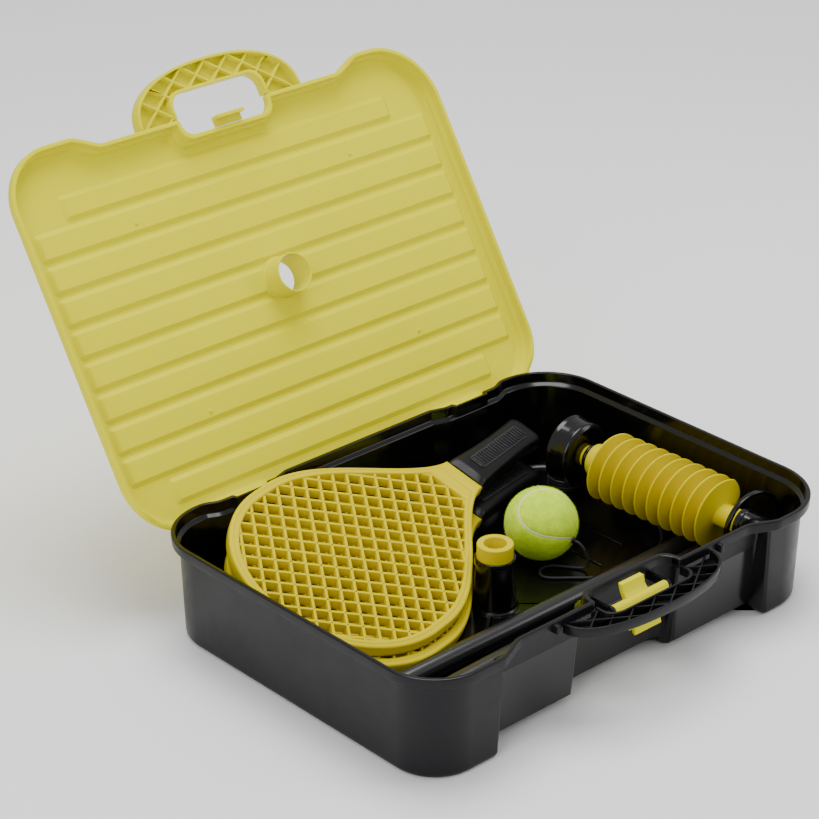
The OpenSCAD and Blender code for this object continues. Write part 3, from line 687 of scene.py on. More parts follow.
@dataclass(frozen=True)
class CoatedSteel:
    """Drawn steel tube with a black baked coat: drawing lines along it, dull gloss."""

    name: str
    colour: str
    metal: str
    roughness: float

    def build(self) -> bpy.types.Material:
        """Returns the material."""
        material, tree, place = fresh(self.name)
        lines = lines_along(tree, place, (12.0, 900.0, 900.0), 3.0)
        surface(
            tree,
            {
                "Base Color": mixed(tree, lines, self.colour, self.metal),
                "Roughness": self.roughness,
                "Normal": relief(tree, lines, 0.4, 0.01),
                "Coat Weight": 0.3,
                "Coat Roughness": 0.2,
                "IOR": 1.5,
            },
        )
        return material


@dataclass(frozen=True)
class BrightSteel:
    """Plated wire, as of a hinge pin: bright, with fine lines round it."""

    name: str
    colour: str

    def build(self) -> bpy.types.Material:
        """Returns the material."""
        material, tree, place = fresh(self.name)
        lines = lines_along(tree, place, (2500.0, 200.0, 200.0), 2.0)
        rough = spread(tree, lines, 0.18, 0.38)
        surface(tree, {"Base Color": linear(self.colour), "Metallic": 1.0, "Roughness": rough})
        return material


@dataclass(frozen=True)
class Felt:
    """Needled wool and nylon felt, dyed bright: matt, fluffy, lighter where the nap lifts."""

    name: str
    colour: str
    tips: str
    sheen: str

    def build(self) -> bpy.types.Material:
        """Returns the material."""
        material, tree, place = fresh(self.name)
        spot = (place, "Object")
        # Tufts about 1.5 mm across, and drifts of nap a few mm wide
        tufts, drifts = noise(tree, spot, 650.0, 4.0, 0.7), noise(tree, spot, 120.0, 2.0)
        both = add(tree, "ShaderNodeMath", {0: tufts, 1: drifts}, operation="ADD")
        lifted = spread(tree, (both, "Value"), 0.0, 1.0, least=0.75, most=1.25)
        surface(
            tree,
            {
                "Base Color": mixed(tree, lifted, self.colour, self.tips),
                "Roughness": 0.95,
                "Sheen Weight": 0.35,
                "Sheen Roughness": 0.5,
                "Sheen Tint": linear(self.sheen),
                "Normal": relief(tree, (both, "Value"), 0.7, 0.3),
            },
        )
        return material


@dataclass(frozen=True)
class Rubber:
    """Cured rubber: matt, slightly dusty."""

    name: str
    colour: str
    dust: str

    def build(self) -> bpy.types.Material:
        """Returns the material."""
        material, tree, place = fresh(self.name)
        grain = noise(tree, (place, "Object"), 900.0, 3.0)
        surface(
            tree,
            {
                "Base Color": mixed(tree, grain, self.colour, self.dust),
                "Roughness": 0.75,
                "Normal": relief(tree, grain, 0.4, 0.05),
                "IOR": 1.52,
            },
        )
        return material


@dataclass(frozen=True)
class Braid:
    """Braided nylon cord: strands that cross in a fine diamond, read from the cord's own UV map."""

    name: str
    colour: str
    strand: str
    around: float = 4.0
    along: float = 600.0

    def build(self) -> bpy.types.Material:
        """Returns the material."""
        material, tree, place = fresh(self.name)
        waves = []
        for side in (1.0, -1.0):
            # UV is turns round the cord and metres along it; each strand is about 1.6 mm long
            slant = {"Vector": (place, "UV"), "Scale": (self.around * side, self.along, 1.0)}
            spot = add(tree, "ShaderNodeMapping", slant)
            links = {"Vector": (spot, "Vector"), "Scale": 0.5, "Distortion": 0.2}
            waves.append(add(tree, "ShaderNodeTexWave", links, bands_direction="DIAGONAL"))
        crossed = {0: (waves[0], "Fac"), 1: (waves[1], "Fac")}
        weave = add(tree, "ShaderNodeMath", crossed, operation="MAXIMUM"), "Value"
        surface(
            tree,
            {
                "Base Color": mixed(tree, weave, self.colour, self.strand),
                "Roughness": 0.6,
                "Sheen Weight": 0.04,
                "Normal": relief(tree, weave, 0.8, 0.15),
            },
        )
        return material


def made(finish: Finish) -> bpy.types.Material:
    """Returns a field whose material is made together with all the others."""
    return field(default_factory=finish.build)


@dataclass
class Finishes:
    """The materials of the set, each made once."""

    # Near black and even, with a fine grain that breaks up the highlights
    case_outside: bpy.types.Material = made(
        MouldedPlastic(
            "ABS, black, eroded mould", "#121215", "#151518", Gloss.SATIN,
            grain=1.1, grain_depth=0.02, wave=60.0, wave_depth=0.05, shine=0.2,
        )
    )
    # Deep black that mirrors the contents softly, in long waves; its colour is darker than the outside's,
    # partly for the polish and partly as painted shade inside the tray
    case_inside: bpy.types.Material = made(
        MouldedPlastic(
            "ABS, black, polished mould", "#050505", "#070708", Gloss.POLISHED,
            grain=1.4, grain_depth=0.004, wave=45.0, wave_depth=0.12, shine=0.4,
        )
    )
    # Black with wide, dull highlights on the handle and the small parts
    black_trim: bpy.types.Material = made(
        MouldedPlastic(
            "ABS, black, satin mould", "#0A0A0C", "#0E0E10", Gloss.SATIN,
            grain=1.2, grain_depth=0.01, wave=30.0, wave_depth=0.03, shine=0.25,
        )
    )
    # Black with narrow, bright highlights on the cap and the rings
    black_gloss: bpy.types.Material = made(
        MouldedPlastic(
            "ABS, black, polished trim", "#050506", "#080809", Gloss.POLISHED,
            grain=1.4, grain_depth=0.004, wave=40.0, wave_depth=0.05, shine=0.45,
        )
    )
    # Black and slightly waxy, as a bat's handle looks
    grip: bpy.types.Material = made(
        MouldedPlastic(
            "polypropylene, black, satin mould", "#0B0B0D", "#0E0E10", Gloss.SATIN,
            grain=0.9, grain_depth=0.01, wave=30.0, wave_depth=0.04, shine=0.25,
        )
    )
    # Black plastic painted dark grey as a painted highlight, so that the ridges stand out from the grip
    inlay: bpy.types.Material = made(
        MouldedPlastic(
            "polypropylene, black, ribbed mould", "#2A2A2D", "#303033", Gloss.SATIN,
            grain=0.9, grain_depth=0.01, wave=30.0, wave_depth=0.04, shine=0.5,
        )
    )
    # Clear, slightly green yellow, whose highlights stay yellow
    lemon: bpy.types.Material = made(
        MouldedPlastic(
            "ABS, lemon yellow, polished mould", "#E3DC00", "#DED500", Gloss.SATIN,
            grain=1.3, grain_depth=0.004, wave=55.0, wave_depth=0.1, shine=0.16, tint="#FFF060",
        )
    )
    # Warmer and slightly deeper yellow, duller than the lid
    amber: bpy.types.Material = made(
        MouldedPlastic(
            "ABS, warm yellow, satin mould", "#DFCC00", "#DAC600", Gloss.SATIN,
            grain=1.1, grain_depth=0.008, wave=40.0, wave_depth=0.04, shine=0.16, tint="#FFF060",
        )
    )
    # Black tube with one long, soft highlight
    pole: bpy.types.Material = made(
        CoatedSteel("steel tube, drawn, black bake coat", "#101012", "#18181B", roughness=0.3)
    )
    # Bright grey wire with fine lines round it
    pin: bpy.types.Material = made(BrightSteel("steel wire, zinc plated", "#B9BCC0"))
    # Yellow-green and matt, lighter at the tips of its tufts
    felt: bpy.types.Material = made(
        Felt("wool felt, needled, optic yellow", "#BCE600", "#E2FF20", "#F0FF90")
    )
    # The same dye on single fibres, painted lighter than the felt for the light they catch
    fibre: bpy.types.Material = made(Felt("wool fibre, optic yellow", "#C8F200", "#ECFF50", "#F6FFB0"))
    # Pale line between the felt's lobes
    seam: bpy.types.Material = made(Rubber("natural rubber, pale, cured", "#D9E2A8", "#EEF3CF"))
    # Dark grey, hidden by the felt
    core: bpy.types.Material = made(Rubber("natural rubber, grey, cured", "#3A3A3C", "#4A4A4C"))
    # Black strands with grey crests that cross in a fine diamond
    braid: bpy.types.Material = made(Braid("nylon cord, braided, black", "#060607", "#131315"))


def dress(obj: bpy.types.Object, material: bpy.types.Material) -> bpy.types.Object:
    """Gives a piece one material and returns the piece."""
    obj.data.materials.clear()
    obj.data.materials.append(material)
    return obj


def seat(obj: bpy.types.Object, body: str, slot: str, *nodes: str) -> bpy.types.Object:
    """Lets a finished piece stand for parts of the frame.

    Args:
        obj: The piece.
        body: Body that it rides on.
        slot: The record's material slot; not used.
        nodes: Parts that it stands for.

    Returns:
        The piece.
    """
    if nodes:
        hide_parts(*nodes)
    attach(obj, body)
    LOG.info("%s: %d faces, on %s", obj.name, len(obj.data.polygons), body)
    return obj


@dataclass(frozen=True)
class Seat:
    """A body and one of the record's material slots, which several pieces share."""

    body: str
    slot: str

    def take(self, obj: bpy.types.Object, material: bpy.types.Material, *nodes: str) -> None:
        """Dresses a piece and lets it stand for parts of the frame.

        Args:
            obj: The piece.
            material: Its material.
            nodes: Parts that it stands for.
        """
        seat(dress(obj, material), self.body, self.slot, *nodes)

    def soften(self, node: str, width: float, material: bpy.types.Material) -> None:
        """Rounds the edges of a part of the frame by a width in mm, dresses it and seats it."""
        self.take(softened(node, width), material, node)


# ---------------------------------------------------------------- case


@dataclass
class CaseOutline:
    """The case's outline, seen from above, in mm."""

    half_width: float = 238.0
    tower_y: float = 176.0
    front_y: float = 164.0
    notch_y: float = 148.0
    notch_x: float = 47.5
    notch_side: float = 1.5
    notch_round: float = 12.0
    recess_x: float = 134.0
    tower_step: float = 25.0
    crease_x: float = 147.0
    back_y: float = 174.0
    hinge_wall_y: float = 169.0
    hinge_x: float = 128.0
    back_radius: float = 57.0
    front_left_radius: float = 50.0
    front_right_radius: float = 62.0
    finer: int = 4

    def half(
        self, kick: float, pocket: float, setback: float, inset: float, crisp: float, radius: float
    ) -> list[Corner]:
        """Returns the corners of the right half.

        Args:
            kick: How far the middle of the front is moved in.
            pocket: Y of the wall at a hinge.
            setback: How far the whole front is moved in.
            inset: How far the ring will be moved in.
            crisp: 0 for the soft curves of the lip, 1 for the crisp creases of the wall.
            radius: Radius of the front corner.

        Returns:
            The corners, counter-clockwise from the middle of the front.
        """
        hx, hy, by = self.hinge_x, self.hinge_wall_y, self.back_y
        front, tower = -self.front_y + kick + setback, -self.tower_y + setback
        inner_x = self.recess_x + crisp * (self.crease_x - self.recess_x)
        outer_x = self.recess_x + self.tower_step
        outer_x += crisp * (self.crease_x + 1.5 - outer_x)
        return [
            Corner((self.notch_x, -self.notch_y + kick + setback), self.notch_round - 0.9 * inset, 3),
            Corner((self.notch_x + self.notch_side, front), 3 + inset * crisp, 2),
            Corner((inner_x, front), 18 + crisp * (-16 - inset), 3),
            Corner((outer_x, tower), 18 + crisp * (-15 + inset), 3),
            Corner((self.half_width, tower), radius, 8),
            Corner((self.half_width, by + 1), self.back_radius, 8),
            Corner((hx + 46, by + 1), 20, 2),
            Corner((hx + 34, hy), 20, 2),
            Corner((hx + 19, hy)),
            Corner((hx + 17, pocket)),
            Corner((hx - 17, pocket)),
            Corner((hx - 19, hy)),
            Corner((hx - 28, hy), 10, 2),
            Corner((hx - 43, by), 10, 2),
        ]

    def corners(
        self, kick: float, pocket: float, setback: float, inset: float = 0.0, crisp: float = 0.0
    ) -> list[Corner]:
        """Returns all corners of the outline; the arguments are those of half."""
        right = self.half(kick, pocket, setback, inset, crisp, self.front_right_radius)
        mirror = self.half(kick, pocket, setback, inset, crisp, self.front_left_radius)
        left = [Corner((-c.at[0], c.at[1]), c.radius, c.steps) for c in reversed(mirror)]
        return right + left


@dataclass
class CaseBase:
    """The black lower half: tray, handle, pillar with its socket, hinges and latch."""

    finish: Finishes
    outline: CaseOutline = field(default_factory=CaseOutline)
    height: float = 96.0
    lip_height: float = 9.5
    lip_out: float = 7.0
    inside_in: float = 8.3
    draft: float = 2.5
    floor: float = 3.0
    bottom_radius: float = 5.5
    kick_height: float = 10.0
    kick_depth: float = 18.0
    pocket_top: float = 84.5
    pocket_line: float = 163.8
    pocket_wall: float = 2.2
    pillar_height: float = 50.0
    stop_x: float = 95.5
    latch_axis: float = 81.0

    def ring(self, bend: Bend) -> list[Point]:
        """Returns the tray's ring at one point of its cross section."""
        kick = self.kick_depth * max(0.0, 1 - bend.z / self.kick_height)
        line = self.pocket_line - (self.pocket_wall if bend.inner else 0.0)
        pocket = line + bend.inset if bend.z > self.pocket_top else self.outline.hinge_wall_y
        crisp = min(1.0, max(0.0, (self.height - self.lip_height + 0.5 - bend.z) / 2.5))
        corners = self.outline.corners(kick, pocket, 0, bend.inset, crisp)
        flat = rounded(corners, bend.inset, self.outline.finer)
        return [(x, y, bend.z) for x, y in flat]

    def tray(self) -> bpy.types.Object:
        """Builds the tray with its lip, bottom edge and floor."""
        low = self.lip_out + self.draft
        lip = self.height - self.lip_height
        top = self.height
        section = [
            Bend(low + self.bottom_radius + 1, 0),
            Bend(low, 0, self.bottom_radius),
            Bend(self.lip_out, lip - 2, 1.2),
            Bend(0.6, lip + 0.5, 1.2),
            Bend(0, top, 1.1),
            Bend(self.inside_in - 4.4, top, 0.7, True),
            Bend(self.inside_in - 3.8, lip + 0.5, 1.2, True),
            Bend(self.inside_in, lip - 2, 1.4, True),
            Bend(self.inside_in + 3.7, self.floor, 6.5, True),
            Bend(self.inside_in + 12, self.floor, 0, True),
        ]
        soft = soft_section(section, False, 5)
        rings = [self.ring(b) for b in soft]
        n = len(rings[0])
        points = [p for ring in rings for p in ring]
        faces = band(len(rings), n, False)
        last = len(points) - n
        foot, base = len(points), len(points) + 1
        points += [(0, 0, 0), (0, 0, self.floor)]
        faces += [(foot, (i + 1) % n, i) for i in range(n)]
        faces += [(base, last + i, last + (i + 1) % n) for i in range(n)]
        tray = new_piece("case_tray", points, faces, Place().matrix(), 40)
        tray.data.materials.append(self.finish.case_outside)
        tray.data.materials.append(self.finish.case_inside)
        self.paint_inside(tray)
        return tray

    def paint_inside(self, tray: bpy.types.Object) -> None:
        """Gives the polished finish, whose colour is partly painted shade, to the faces that look into the
        tray.
        """
        least_level, rim_level, upward = self.floor * 0.8, self.height - 0.3, 0.7
        for face in tray.data.polygons:
            middle, normal = face.center, face.normal
            inward = normal.x * middle.x + normal.y * middle.y < 0
            level = middle.z / MM
            inside = level > least_level and (normal.z > upward or (inward and level < rim_level))
            face.material_index = 1 if inside else 0

    def pillar(self) -> bpy.types.Object:
        """Builds the cone that carries the socket."""
        recess = self.pillar_height - 6
        section = [
            Bend(0, 3),
            Bend(21.7, 3, 0.3),
            Bend(19.8, 4.4, 1.5),
            Bend(18.9, 6.5, 1.5),
            Bend(16.5, recess, 0.4),
            Bend(17.8, recess, 0.5),
            Bend(17.8, self.pillar_height, 0.6),
            Bend(15.85, self.pillar_height, 0.4),
            Bend(15.85, recess, 0.3),
            Bend(12.6, recess, 0.3),
            Bend(12.6, 6, 0.3),
            Bend(0, 6),
        ]
        return lathe("pole_pillar_dressed", section, Place().matrix(), False)

    def socket(self) -> bpy.types.Object:
        """Builds the yellow insert that takes the pole."""
        top = self.pillar_height + 13
        section = [
            Bend(0, 6),
            Bend(12.5, 6, 0.3),
            Bend(12.5, 44, 0.3),
            Bend(15.75, 44, 0.3),
            Bend(15.75, top, 1.0),
            Bend(9.9, top, 0.6),
            Bend(9.9, top - 55, 0.3),
            Bend(0, top - 55),
        ]
        return lathe("pole_socket_dressed", section, Place().matrix(), False)

    def handle(self) -> bpy.types.Object:
        """Builds the handle's lower half, slim, with its top below the rim."""
        handle = softened("base_handle", 0.5)
        root, top = -self.outline.front_y - 0.15, self.height
        narrow, short, thin, drop = 0.965, 0.77, 0.72, 4.8
        for vertex in handle.data.vertices:
            x, y, z = vertex.co / MM
            spot = Vector((x * narrow, root + (y - root) * short, top - drop + (z - top) * thin))
            vertex.co = spot * MM
        return handle

    def stops(self) -> bpy.types.Object:
        """Builds the two small stops beside the handle, under the rim."""
        section = soft_section([Bend(0, -7), Bend(0, 0, 0.8), Bend(1.4, 0)], False, 3)
        parts = []
        for side in (-1, 1):
            x, y = side * self.stop_x, -self.outline.front_y - 2
            corners = oblong((x - 2.2, x + 2.2), (y - 3, y + 4), 1, 1)
            parts.append(loft("stop", stacked(corners, section, self.height - 1.5, 2), Place().matrix()))
        return joined("rim_stops", parts)

    def hook(self) -> bpy.types.Object:
        """Builds the latch: a low hook above its axis, and a wide thumb tab under it."""
        hook = softened("latch_hook", 0.9, 3)
        hook_from, hook_share = self.latch_axis + 3, 0.78
        tab_from, tab_length, tab_share, tab_longer = self.latch_axis - 8, 14, 1.3, 3
        for vertex in hook.data.vertices:
            x, y, z = vertex.co / MM
            if z > hook_from:
                z = hook_from + (z - hook_from) * hook_share
            elif z < tab_from:
                x, z = x * tab_share, z - tab_longer * (tab_from - z) / tab_length
            vertex.co = Vector((x, y, z)) * MM
        return hook

    def build(self) -> None:
        """Builds and dresses every piece of the base."""
        f = self.finish
        black, yellow = Seat("case", "case_plastic"), Seat("case", "yellow_plastic")
        walls = ("front", "right", "back_right", "back", "back_left", "left", "floor")
        seat(self.tray(), "case", "case_plastic", *(f"case_{wall}" for wall in walls))
        black.take(self.pillar(), f.case_inside, "pole_pillar")
        yellow.take(self.socket(), f.amber, "pole_socket")
        black.take(self.handle(), f.black_trim, "base_handle")
        black.take(self.stops(), f.case_outside)
        for side in ("left", "right"):
            black.soften(f"hinge_seat_{side}", 0.4, f.case_outside)
            dress(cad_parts[f"hinge_pin_{side}"], f.pin)
        black.soften("latch_ears", 0.4, f.black_trim)
        dress(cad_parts["latch_pin"], f.pin)
        black.soften("floor_ribs", 0.4, f.case_inside)
        Seat("latch", "yellow_plastic").take(self.hook(), f.lemon, "latch_hook")


# ---------------------------------------------------------------- lid


@dataclass
class Lid:
    """The yellow lid: shell with raised panels, collar, handle half, catch and knuckles."""

    finish: Finishes
    outline: CaseOutline = field(default_factory=CaseOutline)
    place: LidPlace = field(default_factory=LidPlace)
    rim_z: float = 96.3
    top: float = 114.0
    roof: float = 111.4
    lip_height: float = 10.0
    lip_out: float = 5.5
    wall: float = 2.8
    setback: float = 5.0
    relief: float = 3.0
    hole_radius: float = 16.4
    collar_radius: float = 18.1
    collar_height: float = 25.0
    panel_pitch: float = 28.7
    panel_width: float = 27.0
    panel_depth: float = 3.0
    shoulder: float = 4.4
    panel_first: float = -89.1
    panel_count: int = 8
    panel_half: float = 223.0
    short_half: float = 186.0
    short_width: float = 24.4
    short_front: float = -116.6
    short_back: float = 139.7
    pip_x: float = 122.0

    def ring(self, bend: Bend) -> list[Point]:
        """Returns the shell's ring at one point of its cross section."""
        corners = self.outline.corners(0, self.outline.hinge_wall_y, self.setback, bend.inset)
        points = []
        for x, y in rounded(corners, bend.inset, self.outline.finer):
            near_rim = max(0.0, 1 - max(0.0, bend.z - self.rim_z - 1.2) / 2)
            lift = self.relief * min(1.0, max(0.0, (y - 148) / 10)) * near_rim
            points.append((x, y, bend.z + lift))
        return points

    def shell(self) -> bpy.types.Object:
        """Builds the shell with its rolled edge and the hole in its middle."""
        lip = self.rim_z + self.lip_height
        inner = self.lip_out + self.wall
        section = [
            Bend(self.lip_out + 14, self.top),
            Bend(self.lip_out, self.top, 6.0),
            Bend(self.lip_out - 0.8, lip, 1.0),
            Bend(0.5, lip - 2, 1.2),
            Bend(0, self.rim_z, 1.0),
            Bend(4, self.rim_z, 0.8),
            Bend(4.4, lip - 2.5, 1.2),
            Bend(inner - 1, lip - 0.5, 1.0),
            Bend(inner + 0.6, self.roof, 4.6),
            Bend(inner + 12, self.roof),
        ]
        soft = soft_section(section, False, 5)
        rings = [self.ring(b) for b in soft]
        n = len(rings[0])
        points = [p for ring in rings for p in ring]
        faces = band(len(rings), n, False)
        base, turns, r = len(points), 72, self.hole_radius
        for z in (self.top, self.roof):
            points += [(r * math.cos(t), r * math.sin(t), z) for t in whole_turn(turns)]
        faces += [tuple(base + i for i in face) for face in band(2, turns, False)]
        # The roof's two sides are flat faces between the shell's edge and the hole
        for edge, hole in ((0, base), (base - n, base + turns)):
            loops = [range(edge, edge + n), range(hole, hole + turns)]
            order = [i for loop in loops for i in loop]
            for corners in tessellate_polygon([[Vector(points[i]) for i in loop] for loop in loops]):
                faces.append(tuple(order[k] for k in corners))
        return new_piece("lid_shell_dressed", points, faces, self.place.matrix(), 36)

    def panel(self, y: float, half: float, width: float) -> bpy.types.Object:
        """Builds one raised panel under the roof, with round shoulders.

        Args:
            y: Its middle.
            half: Half of its length.
            width: Its width.

        Returns:
            The panel.
        """
        corners = oblong((-half, half), (y - width / 2, y + width / 2), 5, 2)
        d, out = self.panel_depth, self.shoulder
        bends = [Bend(-0.6, -0.05), Bend(0.3, 0, 0.8), Bend(out, -d, 1.4), Bend(out + 4, -d)]
        rings = stacked(corners, soft_section(bends, False, 6), self.roof, 3)
        return loft("panel", rings, self.place.matrix(), 50, Ends.LAST, False)

    def pierce(self, panel: bpy.types.Object) -> bpy.types.Object:
        """Opens a panel where the collar's bore passes through it.

        Args:
            panel: The panel, which is changed.

        Returns:
            The panel.
        """
        place = self.place.matrix()
        radius = (self.hole_radius + self.collar_radius) / 2
        bm = bmesh.new()
        bm.from_mesh(panel.data)
        for a in whole_turn(32):
            side = Vector((math.cos(a), math.sin(a), 0))
            bmesh.ops.bisect_plane(
                bm,
                geom=bm.verts[:] + bm.edges[:] + bm.faces[:],
                plane_co=place @ (side * radius + Vector((0, 0, self.roof))),
                plane_no=(place.to_3x3() @ side).normalized(),
                dist=1e-7,
            )
        back = place.inverted()
        inside = [face for face in bm.faces if (back @ face.calc_center_median()).xy.length < radius]
        bmesh.ops.delete(bm, geom=inside, context="FACES")
        bm.to_mesh(panel.data)
        bm.free()
        return panel

    def panels(self) -> bpy.types.Object:
        """Builds all raised panels, open where the collar's bore is."""
        parts = []
        for i in range(self.panel_count):
            y = self.panel_first + i * self.panel_pitch
            panel = self.panel(y, self.panel_half, self.panel_width)
            near = abs(y) < self.panel_width / 2 + self.collar_radius
            parts.append(self.pierce(panel) if near else panel)
        for y in (self.short_front, self.short_back):
            parts.append(self.panel(y, self.short_half, self.short_width))
        return joined("lid_panels", parts)

    def collar(self) -> bpy.types.Object:
        """Builds the spigot that the pole passes through."""
        low, level = self.roof - self.collar_height, self.roof - self.panel_depth
        bore, out = self.hole_radius, self.collar_radius
        section = [
            Bend(bore, low, 0.8),
            Bend(out, low, 1.0),
            Bend(out, level + 0.2, 1.4),
            Bend(out + 2.2, level + 0.3),
            Bend(out + 2.2, self.roof),
            Bend(bore, self.roof),
        ]
        return lathe("lid_collar_dressed", section, self.place.matrix())

    def pips(self) -> bpy.types.Object:
        """Builds the four small marks that the mould's ejectors leave on the panels."""
        level = self.roof - self.panel_depth
        section = [Bend(0, level - 1.1), Bend(1.6, level - 1.1, 0.5), Bend(2.0, level + 0.2)]
        parts = []
        for x in (-self.pip_x, self.pip_x):
            for y in (87.0, -86.0):
                place = self.place.matrix() @ Matrix.Translation((x, y, 0))
                parts.append(lathe("pip", section, place, False, 20))
        return joined("lid_pips", parts)

    def build(self) -> None:
        """Builds and dresses every piece of the lid."""
        lid, lemon = Seat("lid", "lid_plastic"), self.finish.lemon
        lid.take(self.shell(), lemon, "lid_shell")
        lid.take(self.panels(), lemon, "lid_ribs")
        lid.take(self.collar(), lemon, "lid_collar")
        lid.take(self.pips(), lemon)
        lid.soften("lid_handle", 0.6, lemon)
        lid.soften("lid_catch", 0.35, lemon)
        for side in ("left", "right"):
            lid.soften(f"lid_lug_{side}", 0.4, lemon)


# ---------------------------------------------------------------- bats


def line_hits(outline: Sequence[Flat], start: Flat, way: Flat) -> list[float]:
    """Finds where a straight line crosses an outline.

    Args:
        outline: Closed outline.
        start: A point of the line.
        way: Its direction, of length 1.

    Returns:
        Sorted distances along the line.
    """
    hits = []
    for i, a in enumerate(outline):
        b = outline[(i + 1) % len(outline)]
        ax = (a[0] - start[0]) * -way[1] + (a[1] - start[1]) * way[0]
        bx = (b[0] - start[0]) * -way[1] + (b[1] - start[1]) * way[0]
        if (ax < 0) != (bx < 0):
            t = ax / (ax - bx)
            x, y = a[0] + t * (b[0] - a[0]) - start[0], a[1] + t * (b[1] - a[1]) - start[1]
            hits.append(x * way[0] + y * way[1])
    return sorted(hits)


@dataclass
class RibTree:
    """Geometry Nodes that turn straight edges into ribs with slanted sides and soft tops, in metres."""

    height: float
    foot: float
    crest: float
    soft: float

    def run(self, obj: bpy.types.Object, material: bpy.types.Material) -> None:
        """Replaces an object's edges by ribs.

        Args:
            obj: Mesh of edges, in metres; ribs stand along Z.
            material: Material of the ribs.
        """
        sizes = {"Height": self.height, "Foot": self.foot, "Crest": self.crest, "Soft": self.soft}
        flow = Flow("ribs", dict.fromkeys(sizes, "Float"))
        tree, group = flow.tree, flow.group
        curves = add(tree, "GeometryNodeMeshToCurve", {"Mesh": (group, "Geometry")})
        level = add(tree, "GeometryNodeSetCurveNormal", {"Curve": (curves, "Curve")}, mode="Z_UP")
        shape = add(
            tree,
            "GeometryNodeCurvePrimitiveQuadrilateral",
            {
                "Height": (group, "Height"),
                "Bottom Width": (group, "Foot"),
                "Top Width": (group, "Crest"),
                "Offset": 0.0,
            },
            mode="TRAPEZOID",
        )
        edges = {"Curve": (shape, "Curve"), "Radius": (group, "Soft"), "Count": 2}
        section = add(tree, "GeometryNodeFilletCurve", edges, mode="POLY")
        sweep = {"Curve": (level, "Curve"), "Profile Curve": (section, "Curve"), "Fill Caps": True}
        swept = add(tree, "GeometryNodeCurveToMesh", sweep)
        flow.run(obj, (swept, "Mesh"), material, sizes)


def repeat(obj: bpy.types.Object, shape: bpy.types.Object, material: bpy.types.Material) -> None:
    """Replaces an object's points by copies of a shape, with Geometry Nodes.

    Args:
        obj: Mesh of points.
        shape: What stands on each, in metres.
        material: Material of the copies.
    """
    flow = Flow("row", {"Shape": "Object"})
    tree, group = flow.tree, flow.group
    points = add(tree, "GeometryNodeMeshToPoints", {"Mesh": (group, "Geometry")})
    info = add(tree, "GeometryNodeObjectInfo", {"Object": (group, "Shape")})
    links = {"Points": (points, "Points"), "Instance": (info, "Geometry")}
    copies = add(tree, "GeometryNodeInstanceOnPoints", links)
    flow.run(obj, (copies, "Instances"), material, {"Shape": shape})


